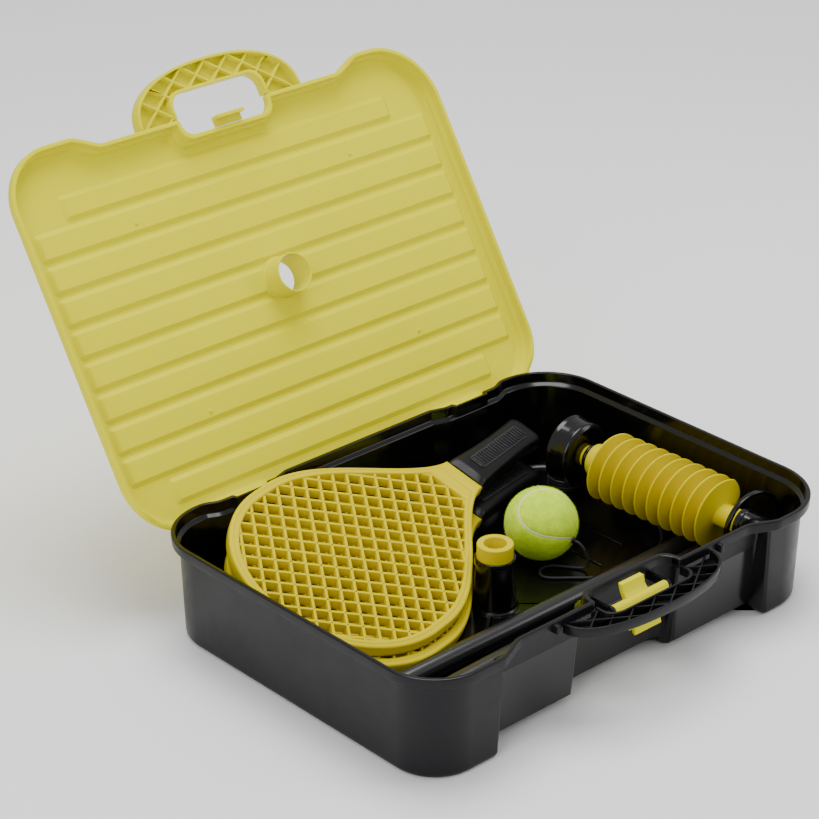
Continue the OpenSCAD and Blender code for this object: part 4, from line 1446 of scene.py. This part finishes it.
@dataclass
class Bat:
    """A moulded bat: beaded rim, open diamond grid, and a black grip with a ribbed inlay."""

    finish: Finishes
    name: str
    body: str
    place: Place
    throat_at: float = -40.0
    throat_half: float = 20.0
    head_radius: float = 101.0
    head_at: float = 185.0
    taper: float = 170.0
    rim_width: float = 9.0
    rim_thick: float = 11.5
    grid_from: float = 28.0
    grid_thick: float = 9.0
    grid_pitch: float = 13.3
    rib_foot: float = 2.5
    rib_crest: float = 1.7
    rib_soft: float = 0.45
    grip_length: float = 105.0
    grip_half: float = 17.0
    grip_thick: float = 18.0
    grip_step: float = 3.0
    ridge_count: int = 20
    ridge_height: float = 2.1

    def half_width(self, s: float) -> float:
        """Returns half the bat's width at distance s from the throat."""
        share = min(1.0, max(0.0, s / self.taper)) ** 0.85
        wider = self.head_radius - self.throat_half
        return self.throat_half + wider * (1 - math.cos(math.pi * share)) / 2

    def outline(self, inset: float, start: float) -> list[Flat]:
        """Draws the head's outline.

        Args:
            inset: How far inside the rim.
            start: Where it begins, from the throat.

        Returns:
            Counter-clockwise points, as many for any inset.
        """
        steps, turns = 36, 60
        stations = [start + (self.taper - start) * i / steps for i in range(steps + 1)]
        side = [(s, self.half_width(s) - inset) for s in stations]
        radius = self.head_radius - inset
        angles = [math.radians(-90 + 180 * i / turns) for i in range(turns + 1)]
        end = [(self.head_at + radius * math.cos(a), radius * math.sin(a)) for a in angles]
        return [(s, -w) for s, w in side] + end + [(s, w) for s, w in reversed(side)]

    def rim(self) -> bpy.types.Object:
        """Builds the rim, whose face has two beads with a groove between them."""
        w, t = self.rim_width, self.rim_thick
        section = [
            Bend(0, -t, 2.4),
            Bend(0, 0, 2.2),
            Bend(w * 0.44, 0, 1.0),
            Bend(w * 0.5, -0.9, 0.5),
            Bend(w * 0.56, 0, 1.0),
            Bend(w, 0, 1.4),
            Bend(w, -t, 1.4),
            Bend(w * 0.56, -t, 1.0),
            Bend(w * 0.5, -t + 0.9, 0.5),
            Bend(w * 0.44, -t, 1.0),
        ]
        rings = []
        for b in soft_section(section, True, 4):
            flat = self.outline(b.inset, self.grid_from * b.inset / w)
            rings.append([(x + self.throat_at, y, b.z) for x, y in flat])
        return loft(f"{self.name}_rim_dressed", rings, self.place.matrix(), 40, Ends.LOOP)

    def laid(self, obj: bpy.types.Object) -> bpy.types.Object:
        """Moves a piece, drawn in metres at the origin, to where the bat lies, and returns it."""
        obj.data.transform(self.place.matrix() @ Matrix.Scale(1 / MM, 4))
        return obj

    def grid(self) -> bpy.types.Object:
        """Builds the grid: straight ribs both ways, cut off at the rim."""
        edge = self.outline(self.rim_width - 0.8, self.grid_from - 1.5)
        middle = (self.head_at / 2 + 40, 0.0)
        points: list[Point] = []
        edges = []
        level, shortest = -self.rim_thick / 2, 3
        count = math.ceil((self.head_at + self.head_radius) / self.grid_pitch)
        for side in (1.0, -1.0):
            way = (math.sqrt(0.5), side * math.sqrt(0.5))
            for i in range(-count, count + 1):
                off = (i + 0.5) * self.grid_pitch
                start = (middle[0] - way[1] * off, middle[1] + way[0] * off)
                hits = line_hits(edge, start, way)
                for a, b in zip(hits[::2], hits[1::2]):
                    if b - a > shortest:
                        edges.append((len(points), len(points) + 1))
                        for t in (a, b):
                            x, y = start[0] + way[0] * t, start[1] + way[1] * t
                            points.append((x + self.throat_at, y, level))
        mesh = bpy.data.meshes.new(f"{self.name}_grid_dressed")
        mesh.from_pydata([Vector(p) * MM for p in points], edges, [])
        obj = link(mesh.name, mesh)
        ribs = RibTree(self.grid_thick * MM, self.rib_foot * MM, self.rib_crest * MM, self.rib_soft * MM)
        ribs.run(obj, self.finish.amber)
        self.laid(obj)
        settle(obj.data, 40)
        return obj

    def grip_ring(self, t: float, shrink: float = 1.0) -> list[Point]:
        """Draws one ring of the grip, a rectangle with very round corners.

        Args:
            t: Where it is, from the throat (0) to the grip's end (1).
            shrink: Its size, as a share of the grip's.

        Returns:
            The ring's points.
        """
        half = self.grip_half * (1.16 - 0.62 * t + 0.52 * t * t)
        deep = self.grip_thick / 2 * (0.66 + 5.6 * t if t < 0.06 else 1)
        mid = self.grip_step - self.grip_thick / 2
        ring = []
        for a in whole_turn(64, 0.5):
            c, s = math.cos(a), math.sin(a)
            y = shrink * half * math.copysign(abs(c) ** 0.5, c)
            z = mid + shrink * deep * math.copysign(abs(s) ** 0.5, s)
            ring.append((self.throat_at - 0.1 - t * self.grip_length, y, z))
        return ring

    def grip(self) -> bpy.types.Object:
        """Builds the grip with its rounded end."""
        stations = [0, 0.02, 0.04, 0.06, 0.08, 0.14, 0.22, 0.3, 0.4, 0.5, 0.6, 0.7, 0.8, 0.88, 0.93]
        rings = [self.grip_ring(t) for t in stations]
        for i in range(1, 9):
            a = math.pi / 2 * i / 8
            rings.append(self.grip_ring(0.93 + 0.07 * math.sin(a), 1 - 0.24 * (1 - math.cos(a))))
        return loft(f"{self.name}_grip_dressed", rings, self.place.matrix(), 34)

    def pad(self) -> bpy.types.Object:
        """Builds the inlay: a plate in a frame with cross ridges on it."""
        length = 0.72 * self.grip_length
        half = self.grip_half * 0.42
        step = length / self.ridge_count
        start = self.throat_at - 0.16 * self.grip_length - length
        z = self.grip_step + 0.02
        own = Place().matrix()
        plate_bends = [Bend(0, 0), Bend(0, 0.8, 0.3), Bend(1.2, 0.8)]
        plate_edge = oblong((start, start + length), (-half - 1, half + 1), 3, 2)
        plate = loft("plate", stacked(plate_edge, soft_section(plate_bends, False, 3), z, 3), own)
        high = self.ridge_height
        ridge_bends = [Bend(0, 0.7), Bend(0, high, 0.35), Bend(0.7, high)]
        ridge_edge = oblong((-step / 4, step / 4), (-half, half), 0.5, 1)
        ridge_rings = stacked(ridge_edge, soft_section(ridge_bends, False, 2), 0, 1)
        ridge = loft("ridge", ridge_rings, own, 40, Ends.LAST)
        mesh = bpy.data.meshes.new("row")
        spots = [Vector((start + (i + 0.5) * step, 0, z)) * MM for i in range(self.ridge_count)]
        mesh.from_pydata(spots, [], [])
        row = link("row", mesh)
        repeat(row, ridge, self.finish.inlay)
        bpy.data.objects.remove(ridge)
        return self.laid(joined(f"{self.name}_pad_dressed", [plate, row]))

    def build(self) -> None:
        """Builds and dresses the bat's four pieces."""
        f = self.finish
        yellow, black = Seat(self.body, "bat_plastic"), Seat(self.body, "grip_plastic")
        yellow.take(self.rim(), f.amber, f"{self.name}_rim")
        yellow.take(self.grid(), f.amber, f"{self.name}_grid")
        black.take(self.grip(), f.grip, f"{self.name}_grip")
        black.take(self.pad(), f.inlay, f"{self.name}_grip_pad")


# ---------------------------------------------------------------- ball


@dataclass
class Ball:
    """A felt-covered ball: rubber core, two felt lobes, the seam between them, and the tether's button."""

    finish: Finishes
    at: Point = (87.6, 31.7, 36.4)
    radius: float = 33.0
    nap: float = 1.3
    seam_half: float = 1.3
    seam_bulge: float = 0.7
    seam_steps: int = 240
    seam_turn: Point = (-110.55, -175.85, 64.96)
    fibres: int = 24000
    seed: int = 11

    def seam_line(self, steps: int) -> list[Vector]:
        """Returns directions along the seam, a closed curve on the ball."""
        a = self.seam_bulge
        b = 1 - a
        c = 2 * math.sqrt(a * b)
        rx, ry, rz = (math.radians(v) for v in self.seam_turn)
        spin = Matrix.Rotation(rz, 3, "Z") @ Matrix.Rotation(ry, 3, "Y") @ Matrix.Rotation(rx, 3, "X")
        line = []
        for t in whole_turn(steps):
            v = Vector(
                (
                    a * math.cos(t) + b * math.cos(3 * t),
                    a * math.sin(t) - b * math.sin(3 * t),
                    c * math.sin(2 * t),
                )
            )
            line.append((spin @ v).normalized())
        return line

    def skin(self) -> bpy.types.Object:
        """Builds the felt, which dips along the seam, and stores how thick its nap is."""
        bm = bmesh.new()
        bmesh.ops.create_icosphere(bm, subdivisions=6, radius=1.0)
        mesh = bpy.data.meshes.new("ball_felt_dressed")
        bm.to_mesh(mesh)
        bm.free()
        line = self.seam_line(self.seam_steps)
        nap = mesh.attributes.new("nap", "FLOAT", "POINT")
        middle = Vector(self.at)
        base = self.radius - 0.7
        for vertex, value in zip(mesh.vertices, nap.data):
            way = vertex.co.normalized()
            near = max(way.dot(d) for d in line)
            gap = math.acos(min(1.0, near)) * base
            dip = max(0.0, 1 - gap / (self.seam_half * 1.5))
            value.value = 0.0 if gap < self.seam_half else min(1.0, (gap - self.seam_half) / 0.8)
            vertex.co = (middle + way * (base - 0.7 * dip * dip * (3 - 2 * dip))) * MM
        mesh.shade_smooth()
        return link(mesh.name, mesh)

    def seam(self) -> bpy.types.Object:
        """Builds the rubber that shows in the seam, a flat closed cord."""
        line, turns = self.seam_line(self.seam_steps), whole_turn(8)
        middle, base, thick = Vector(self.at), self.radius - 1.35, 0.55
        rings = []
        for i, way in enumerate(line):
            along = (line[(i + 1) % len(line)] - line[i - 1]).normalized()
            across = along.cross(way).normalized() * self.seam_half
            rings.append(
                [middle + way * (base + thick * math.sin(t)) + across * math.cos(t) for t in turns]
            )
        return loft("ball_seam", rings, Place().matrix(), 80, Ends.LOOP)

    def fibre_shape(self) -> bpy.types.Object:
        """Builds one bent fibre as a thin strip, root at the origin and tip along Z."""
        points, faces = [], []
        for i in range(3):
            t = i / 2
            half = 0.055 * (1 - 0.6 * t)
            for side in (-1, 1):
                points.append((side * half, 0.35 * t * t * self.nap, self.nap * t * (1 - 0.15 * t)))
            if i:
                faces.append((2 * i - 2, 2 * i - 1, 2 * i + 1, 2 * i))
        return new_piece("fibre", points, faces, Place().matrix(), 80, False)

    def fluff(self, skin: bpy.types.Object) -> bpy.types.Object:
        """Grows the nap on the felt with Geometry Nodes.

        Args:
            skin: The felt, which holds the nap's density.

        Returns:
            The fibres as one mesh.
        """
        shape = self.fibre_shape()
        obj = link("ball_nap", skin.data.copy())
        flow = Flow("nap", {"Fibre": "Object", "Density": "Float", "Seed": "Int"})
        tree, group = flow.tree, flow.group
        nap = add(tree, "GeometryNodeInputNamedAttribute", {"Name": "nap"}, data_type="FLOAT")
        share = add(tree, "ShaderNodeMath", {0: (nap, 0), 1: (group, "Density")}, operation="MULTIPLY")
        spots = add(
            tree,
            "GeometryNodeDistributePointsOnFaces",
            {"Mesh": (group, "Geometry"), "Density": (share, "Value"), "Seed": (group, "Seed")},
            distribute_method="RANDOM",
        )
        info = add(tree, "GeometryNodeObjectInfo", {"Object": (group, "Fibre")})
        lean = add(
            tree,
            "FunctionNodeRandomValue",
            {0: (-0.9, -0.9, 0.0), 1: (0.9, 0.9, 6.283), "Seed": (group, "Seed")},
            data_type="FLOAT_VECTOR",
        )
        turned = add(
            tree,
            "FunctionNodeRotateRotation",
            {"Rotation": (spots, "Rotation"), "Rotate By": (lean, 0)},
            rotation_space="LOCAL",
        )
        lengths = {2: 0.55, 3: 1.15, "Seed": (group, "Seed")}
        size = add(tree, "FunctionNodeRandomValue", lengths, data_type="FLOAT")
        copies = add(
            tree,
            "GeometryNodeInstanceOnPoints",
            {
                "Points": (spots, "Points"),
                "Instance": (info, "Geometry"),
                "Rotation": (turned, "Rotation"),
                "Scale": (size, 1),
            },
        )
        area = 4 * math.pi * (self.radius * MM) ** 2
        values = {"Fibre": shape, "Density": self.fibres / area, "Seed": self.seed}
        flow.run(obj, (copies, "Instances"), self.finish.fibre, values)
        bpy.data.objects.remove(shape)
        return obj

    def build(self) -> None:
        """Builds and dresses the ball."""
        f = self.finish
        felt, rubber = Seat("ball", "ball_felt"), Seat("ball", "ball_rubber")
        skin = self.skin()
        nap = self.fluff(skin)
        felt.take(skin, f.felt, "ball_felt")
        felt.take(nap, f.fibre)
        rubber.take(self.seam(), f.seam)
        dress(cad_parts["ball_core"], f.core)
        rubber.soften("ball_eye", 0.3, f.black_trim)


# ---------------------------------------------------------------- poles


@dataclass
class PoleSection:
    """A steel tube with a narrower spigot at one end."""

    finish: Finishes
    name: str
    at: Point
    yaw: float
    radius: float = 9.5
    wall: float = 1.2
    length: float = 400.0
    spigot: float = 36.0

    def build(self) -> None:
        """Builds and dresses the tube."""
        whole = self.length + self.spigot
        thin = self.radius - self.wall - 0.3
        bore = self.radius - self.wall
        section = [
            Bend(bore, 0, 0.2),
            Bend(self.radius, 0, 0.5),
            Bend(self.radius, self.length, 0.6),
            Bend(thin, self.length, 0.3),
            Bend(thin, whole, 0.6),
            Bend(thin - self.wall, whole, 0.2),
            Bend(thin - self.wall, self.length - 6, 0.2),
            Bend(bore, self.length - 6, 0.2),
        ]
        place = Place(self.at, (0, -90, self.yaw)).matrix() @ Matrix.Translation((0, 0, -whole / 2))
        tube = lathe(f"{self.name}_dressed", section, place, True, 64)
        Seat("poles", "pole_steel").take(tube, self.finish.pole, self.name)


# ---------------------------------------------------------------- screw


@dataclass
class Screw:
    """The climbing screw: left-handed blade on its core, bell cap, neck ring, collar and tether ring."""

    finish: Finishes
    at: Point = (189.3, -60.0, 54.57)
    yaw: float = 2.47
    blade_radius: float = 32.4
    core_radius: float = 15.0
    shaft_radius: float = 10.5
    pitch: float = 13.7
    turns: float = 9.75
    edge_thick: float = 1.8
    root_thick: float = 3.4
    blade_from: float = -28.6
    blade_angle: float = 20.0
    blade_steps: int = 72
    blade_grow: int = 9
    core_from: float = -20.5
    shaft_from: float = -48.0
    neck: float = 10.0
    cap_radius: float = 32.0
    cap_length: float = 22.5
    bore_radius: float = 8.2
    bore_length: float = 42.0
    ring_at: Point = (195.6, -115.7, 54.12)
    ring_yaw: float = -5.0

    def place(self) -> Matrix:
        """Returns the matrix whose Z runs along the screw towards the back."""
        return Place(self.at, (-90, 0, self.yaw)).matrix()

    def core_to(self) -> float:
        """Returns where the core ends along the axis."""
        return self.blade_from + self.pitch * self.turns + 15

    def blade_ring(self, k: int, total: int) -> list[Point]:
        """Draws the blade's cross section at one step of its way round.

        Args:
            k: The step.
            total: The last step.

        Returns:
            The section's points. At both ends of the blade its edge comes in to the core.
        """
        a = math.radians(self.blade_angle) + 2 * math.pi * k / self.blade_steps
        z = self.blade_from + self.pitch * k / self.blade_steps
        bare = min(1.0, max(0.0, (self.core_from + 3 - z) / 1.5))
        root = self.core_radius - 0.4 - bare * (self.core_radius - self.shaft_radius)
        rise = min(1.0, min(k, total - k) / self.blade_grow)
        edge = self.core_radius + 1 + (self.blade_radius - self.core_radius - 1) * math.sqrt(rise)
        r, e = self.root_thick / 2, self.edge_thick / 2
        foot = root + 2.4
        slim = r + (e - r) * 0.45
        shape = [
            (root, -r - 1.2),
            (root, r + 1.2),
            (foot, slim + 0.15),
            (edge - 1.0, e),
            (edge - 0.35, e * 0.86),
            (edge, e * 0.35),
            (edge, -e * 0.35),
            (edge - 0.35, -e * 0.86),
            (edge - 1.0, -e),
            (foot, -slim - 0.15),
        ]
        return [(x * math.cos(a), -x * math.sin(a), z + h) for x, h in shape]

    def blade(self) -> bpy.types.Object:
        """Builds the blade, swept round the core with a rounded edge."""
        total = round(self.turns * self.blade_steps)
        rings = [self.blade_ring(k, total) for k in range(total + 1)]
        return loft("screw_blade", rings, self.place(), 42)

    def core(self) -> bpy.types.Object:
        """Builds the core with the shaft below it and the neck above."""
        top = self.core_to()
        cap = top + self.neck
        section = [
            Bend(0, self.shaft_from),
            Bend(self.shaft_radius, self.shaft_from, 0.5),
            Bend(self.shaft_radius, self.core_from, 1.0),
            Bend(self.core_radius, self.core_from, 1.0),
            Bend(self.core_radius, top, 1.0),
            Bend(10, top, 0.6),
            Bend(10, cap - 0.1, 0.3),
            Bend(8, cap - 0.1, 0.3),
            Bend(8, cap + 14, 0.6),
            Bend(0, cap + 14),
        ]
        return lathe("screw_core", section, self.place(), False)

    def cap(self) -> bpy.types.Object:
        """Builds the bell cap, closed towards the screw and open at its far end."""
        z, r, length, t = self.core_to() + self.neck, self.cap_radius, self.cap_length, 2.2
        section = [
            Bend(8.05, z, 0.4),
            Bend(r - 6, z, 1.5),
            Bend(r - 2, z + 2.2, 2.6),
            Bend(r - 1.9, z + 10, 5.0),
            Bend(r - 1.2, z + length - 4, 5.0),
            Bend(r, z + length, 0.8),
            Bend(r - 1.3, z + length, 0.4),
            Bend(r - 1.2 - t, z + length - 4, 4.0),
            Bend(r - 1.9 - t, z + 8, 3.0),
            Bend(r - 5.6, z + t, 2.4),
            Bend(11.05, z + t, 1.0),
            Bend(11.05, z + 14, 0.5),
            Bend(8.05, z + 14, 0.4),
        ]
        return lathe("screw_cap", section, self.place(), True, 128, 5)

    def neck_ring(self) -> bpy.types.Object:
        """Builds the ring that sits on the neck."""
        z = self.core_to() + 2.5
        bore, out, top = 10.05, 12.6, z + 3.4
        section = [Bend(bore, z, 0.3), Bend(out, z, 1.1), Bend(out, top, 1.1), Bend(bore, top, 0.3)]
        return lathe("screw_neck_ring", section, self.place())

    def collar(self) -> bpy.types.Object:
        """Builds the collar that takes a pole's spigot."""
        z, out, length = self.shaft_from - self.bore_length, 14.0, self.bore_length
        section = [
            Bend(self.bore_radius, z, 0.5),
            Bend(out, z, 1.2),
            Bend(out, z + 8.6, 0.8),
            Bend(out - 1.2, z + 9.6, 0.8),
            Bend(out - 1.2, z + length - 6.8, 0.8),
            Bend(out, z + length - 5.8, 0.8),
            Bend(out, z + length - 0.05, 1.0),
            Bend(self.bore_radius, z + length - 0.05, 0.2),
        ]
        return lathe("screw_collar", section, self.place())

    def ring(self) -> bpy.types.Object:
        """Builds the ring that carries the tether and climbs the blade."""
        r, t, w = 32.0, 3.0, 5.0
        section = [
            Bend(r - t, -w / 2, 0.9),
            Bend(r, -w / 2, 1.1),
            Bend(r, w / 2, 1.1),
            Bend(r - t, w / 2, 0.9),
        ]
        place = Place(self.ring_at, (-90, 0, self.ring_yaw)).matrix()
        return lathe("tether_ring_dressed", section, place, True, 128, 5)

    def build(self) -> None:
        """Builds and dresses the screw and what is on it."""
        amber, gloss = self.finish.amber, self.finish.black_gloss
        yellow, black = Seat("helix", "yellow_plastic"), Seat("helix", "cap_plastic")
        yellow.take(self.core(), amber, "helix_core")
        yellow.take(self.blade(), amber, "helix_flight")
        black.take(self.cap(), gloss, "helix_cap")
        black.take(self.neck_ring(), gloss, "helix_neck")
        black.take(self.collar(), gloss, "helix_collar")
        Seat("rider", "cap_plastic").take(self.ring(), gloss, "tether_ring")


# ---------------------------------------------------------------- tether


@dataclass
class Tether:
    """The braided cord from the ball to its stored coil and knot."""

    finish: Finishes
    ball: Ball
    diameter: float = 2.5
    floor: float = 3.0
    coil_at: Flat = (200.0, 111.0)
    coil_radius: float = 17.0
    coil_turns: int = 3
    coil_layers: int = 4
    sides: int = 10

    def level(self) -> float:
        """Returns the height of the cord's middle where it lies on the floor."""
        return self.floor + self.diameter / 2 + 0.1

    def route(self) -> list[Vector]:
        """Returns the points of the loose stretch, from the ball's button to the coil."""
        z = self.level()
        way = Vector((0.244, -0.945, -0.216)).normalized()
        end = Vector(self.ball.at) + way * (self.ball.radius + 2.02)
        spots = [
            (98.5, -9.5, 24), (100, -12.5, 17), (100.5, -13.5, 10), (99, -11.5, 5.6),
            (95, -6, z), (89, 2.5, z), (83.5, 9.5, z), (77, 13.8, z),
            (70, 13.6, z), (64.5, 9.5, z), (62.2, 3, z), (65.5, -3, z),
            (72, -9, z), (81, -17, z), (90.5, -25.5, z), (101, -32, z),
            (113, -35.5, z), (127, -36.5, z), (142, -36, z), (157, -34, z),
            (172, -29.5, z), (186, -22, z), (198, -10, z), (207, 5, z),
            (212.5, 22, z), (215.5, 40, z), (217, 60, z), (217, 80, z),
            (217, 98, z), (217, 111 - self.diameter, z),
        ]
        return [end, end + 2 * way, end + 4.5 * way] + [Vector(p) for p in spots]

    def smooth(self, points: Sequence[Vector], steps: int) -> list[Vector]:
        """Returns a smooth curve through points, with steps between each pair."""
        last = len(points) - 1
        result = []
        for i in range(last):
            a, b = points[max(0, i - 1)], points[i]
            c, e = points[i + 1], points[min(last, i + 2)]
            for j in range(steps):
                t = j / steps
                curve = 2 * b + (c - a) * t + (2 * a - 5 * b + 4 * c - e) * t * t
                result.append(0.5 * (curve + (3 * b - a - 3 * c + e) * t * t * t))
        return result + [points[-1]]

    def coil(self, steps: int) -> list[Vector]:
        """Returns the wound stretch, which spirals in and out again, a layer higher each time."""
        step, rise = self.diameter + 0.5, self.diameter + 0.45
        turns, layers, z = self.coil_turns, self.coil_layers, self.level()
        cx, cy = self.coil_at
        path = []
        for k in range(turns * layers * steps + 1):
            s = k / steps
            layer = min(layers - 1, math.floor(s / turns))
            f = s / turns - layer
            inward = f if layer % 2 == 0 else 1 - f
            r = self.coil_radius - step * turns * inward
            near = math.floor(s / turns + 0.5)
            level = float(layer)
            if 0 < near < layers and abs(s - near * turns) < 0.25:
                level = near - 1 + min(1.0, max(0.0, 2 * (s - near * turns) + 0.5))
            a = 2 * math.pi * s
            path.append(Vector((cx + r * math.cos(a), cy + r * math.sin(a), z + rise * level)))
        top = z + rise * (layers - 1)
        tail = [Vector((cx + self.coil_radius, cy + self.diameter * i, top)) for i in (1, 2)]
        return path + tail

    def tube(self, path: Sequence[Vector]) -> bpy.types.Object:
        """Sweeps the cord along its path, with a UV map of turns and metres.

        Args:
            path: Points in mm.

        Returns:
            The cord.
        """
        n = self.sides
        radius = self.diameter / 2
        bm = bmesh.new()
        layer = bm.loops.layers.uv.new("UVMap")
        rings, along, gone = [], [], 0.0
        for k, spot in enumerate(path):
            gone += (spot - path[k - 1]).length if k else 0.0
            along.append(gone * MM)
            way = (path[min(len(path) - 1, k + 1)] - path[max(0, k - 1)]).normalized()
            up = Vector((0, 1, 0)) if abs(way.z) > 0.9 else Vector((0, 0, 1))
            side = way.cross(up).normalized()
            ring = circle(spot, radius, side, side.cross(way), whole_turn(n, 0.5))
            rings.append([bm.verts.new(point * MM) for point in ring])
        for k in range(len(rings) - 1):
            for i in range(n):
                j = (i + 1) % n
                face = bm.faces.new((rings[k][i], rings[k][j], rings[k + 1][j], rings[k + 1][i]))
                ends = ((i, k), (i + 1, k), (i + 1, k + 1), (i, k + 1))
                for loop, (u, v) in zip(face.loops, ends):
                    loop[layer].uv = (u / n, along[v])
        bm.faces.new(list(reversed(rings[0])))
        bm.faces.new(rings[-1])
        bmesh.ops.recalc_face_normals(bm, faces=bm.faces)
        mesh = bpy.data.meshes.new("tether_cord")
        bm.to_mesh(mesh)
        bm.free()
        mesh.shade_smooth()
        return link("tether_cord", mesh)

    def knot(self, end: Vector) -> bpy.types.Object:
        """Builds the knot: a small double loop of the cord drawn tight.

        Args:
            end: Where the cord ends.

        Returns:
            The knot.
        """
        radius = self.diameter * 0.74
        middle = end + Vector((0, radius * 0.8 + 0.02, 0))
        line = []
        for t in whole_turn(48):
            # A trefoil is the line of a simple knot
            x, z = math.sin(t) + 2 * math.sin(2 * t), math.cos(t) - 2 * math.cos(2 * t)
            line.append(Vector((x, -math.sin(3 * t) * 1.6, z)) * radius * 0.2 + middle)
        rings = []
        for k, spot in enumerate(line):
            way = (line[(k + 1) % len(line)] - line[k - 1]).normalized()
            side = way.cross(Vector((0.3, 1, 0.2))).normalized()
            rings.append(circle(spot, radius * 0.42, side, side.cross(way), whole_turn(8)))
        return loft("tether_knot_dressed", rings, Place().matrix(), 80, Ends.LOOP)

    def build(self) -> None:
        path = self.smooth(self.route(), 4) + self.coil(36)
        cord = dress(self.tube(path), self.finish.braid)
        knot = dress(self.knot(path[-1]), self.finish.braid)
        seat(cord, "ball", "tether_cord", "tether_run", "tether_coil")
        seat(knot, "ball", "tether_cord", "tether_knot")


# ---------------------------------------------------------------- studio


@dataclass
class Studio:
    """The pale floor, the soft lights and the camera."""

    eye: Point = (-1415.9, -1431.0, 1190.0)
    target: Point = (-65.85, 35.4, 197.95)
    middle: Point = (0.0, 60.0, 120.0)
    lens: float = 119.88

    def camera(self) -> None:
        """Sets the camera at the viewing angle."""
        data = bpy.data.cameras.new("camera")
        data.lens, data.sensor_width, data.sensor_fit = self.lens, 36.0, "HORIZONTAL"
        data.clip_start, data.clip_end = 0.1, 50.0
        bpy.context.scene.camera = self.stand("camera", data, self.eye, self.target)

    def stand(self, name: str, data: bpy.types.ID, at: Point, target: Point) -> bpy.types.Object:
        """Puts a lamp or camera at a point, in mm, turned towards another, and returns it."""
        obj = link(name, data)
        obj.location = Vector(at) * MM
        obj.rotation_euler = (Vector(target) - Vector(at)).to_track_quat("-Z", "Y").to_euler()
        return obj

    def floor(self) -> None:
        """Lays a plain pale floor."""
        half, level = 9000, -0.05
        points = [(x * half, y * half, level) for x, y in ((-1, -1), (1, -1), (1, 1), (-1, 1))]
        floor = new_piece("studio_floor", points, [(0, 1, 2, 3)], Place().matrix(), 30, False)
        material, tree, place = fresh("paper, matt white")
        grain = noise(tree, (place, "Object"), 6.0, 2.0)
        surface(tree, {"Base Color": mixed(tree, grain, "#FFFFFF", "#FDFDFD"), "Roughness": 0.9})
        dress(floor, material)

    def light(self, name: str, at: Point, size: Flat, power: float) -> None:
        """Hangs a white soft box that faces the set.

        Args:
            name: Its name.
            at: Its place, in mm.
            size: Its width and height, in mm.
            power: Its power, in watts.
        """
        data = bpy.data.lights.new(name, "AREA")
        data.shape, data.size, data.size_y = "RECTANGLE", size[0] * MM, size[1] * MM
        data.energy = power
        self.stand(name, data, at, self.middle)

    def build(self) -> None:
        """Builds the studio."""
        self.camera()
        self.floor()
        self.light("soft_box_top", (200, 300, 2400), (1500, 1500), 50)
        self.light("soft_box_left", (-2100, -700, 1500), (1200, 1600), 22)
        self.light("soft_box_right", (1900, -1500, 1300), (900, 1500), 12)
        world = bpy.data.worlds.new("studio")
        world.use_nodes = True
        tree = world.node_tree
        tree.nodes.clear()
        sky = add(tree, "ShaderNodeBackground", {"Color": linear("#FFFFFF"), "Strength": 0.6})
        add(tree, "ShaderNodeOutputWorld", {"Surface": (sky, "Background")})
        bpy.context.scene.world = world


def main() -> None:
    """Builds the whole set in order."""
    logging.basicConfig(level=logging.INFO, format="%(name)s: %(message)s")
    Studio().build()
    finish = Finishes()
    ball = Ball(finish)
    Tether(finish, ball).build()
    CaseBase(finish).build()
    Lid(finish).build()
    Bat(finish, "lower", "lower_bat", Place((20.5, 89.8, 38.9), (-17.69, -2.88, 193.4))).build()
    Bat(finish, "upper", "upper_bat", Place((26.1, 95.0, 66.0), (-21.77, 0.0, 193.83))).build()
    ball.build()
    poles = {"pole_back": (-50.4, 0.0), "pole_middle": (-78.3, 1.92), "pole_front": (-115.8, 0.0)}
    for name, (y, yaw) in poles.items():
        PoleSection(finish, name, (0.0, y, 12.52), yaw).build()
    Screw(finish).build()


if __name__ == "__main__":
    main()
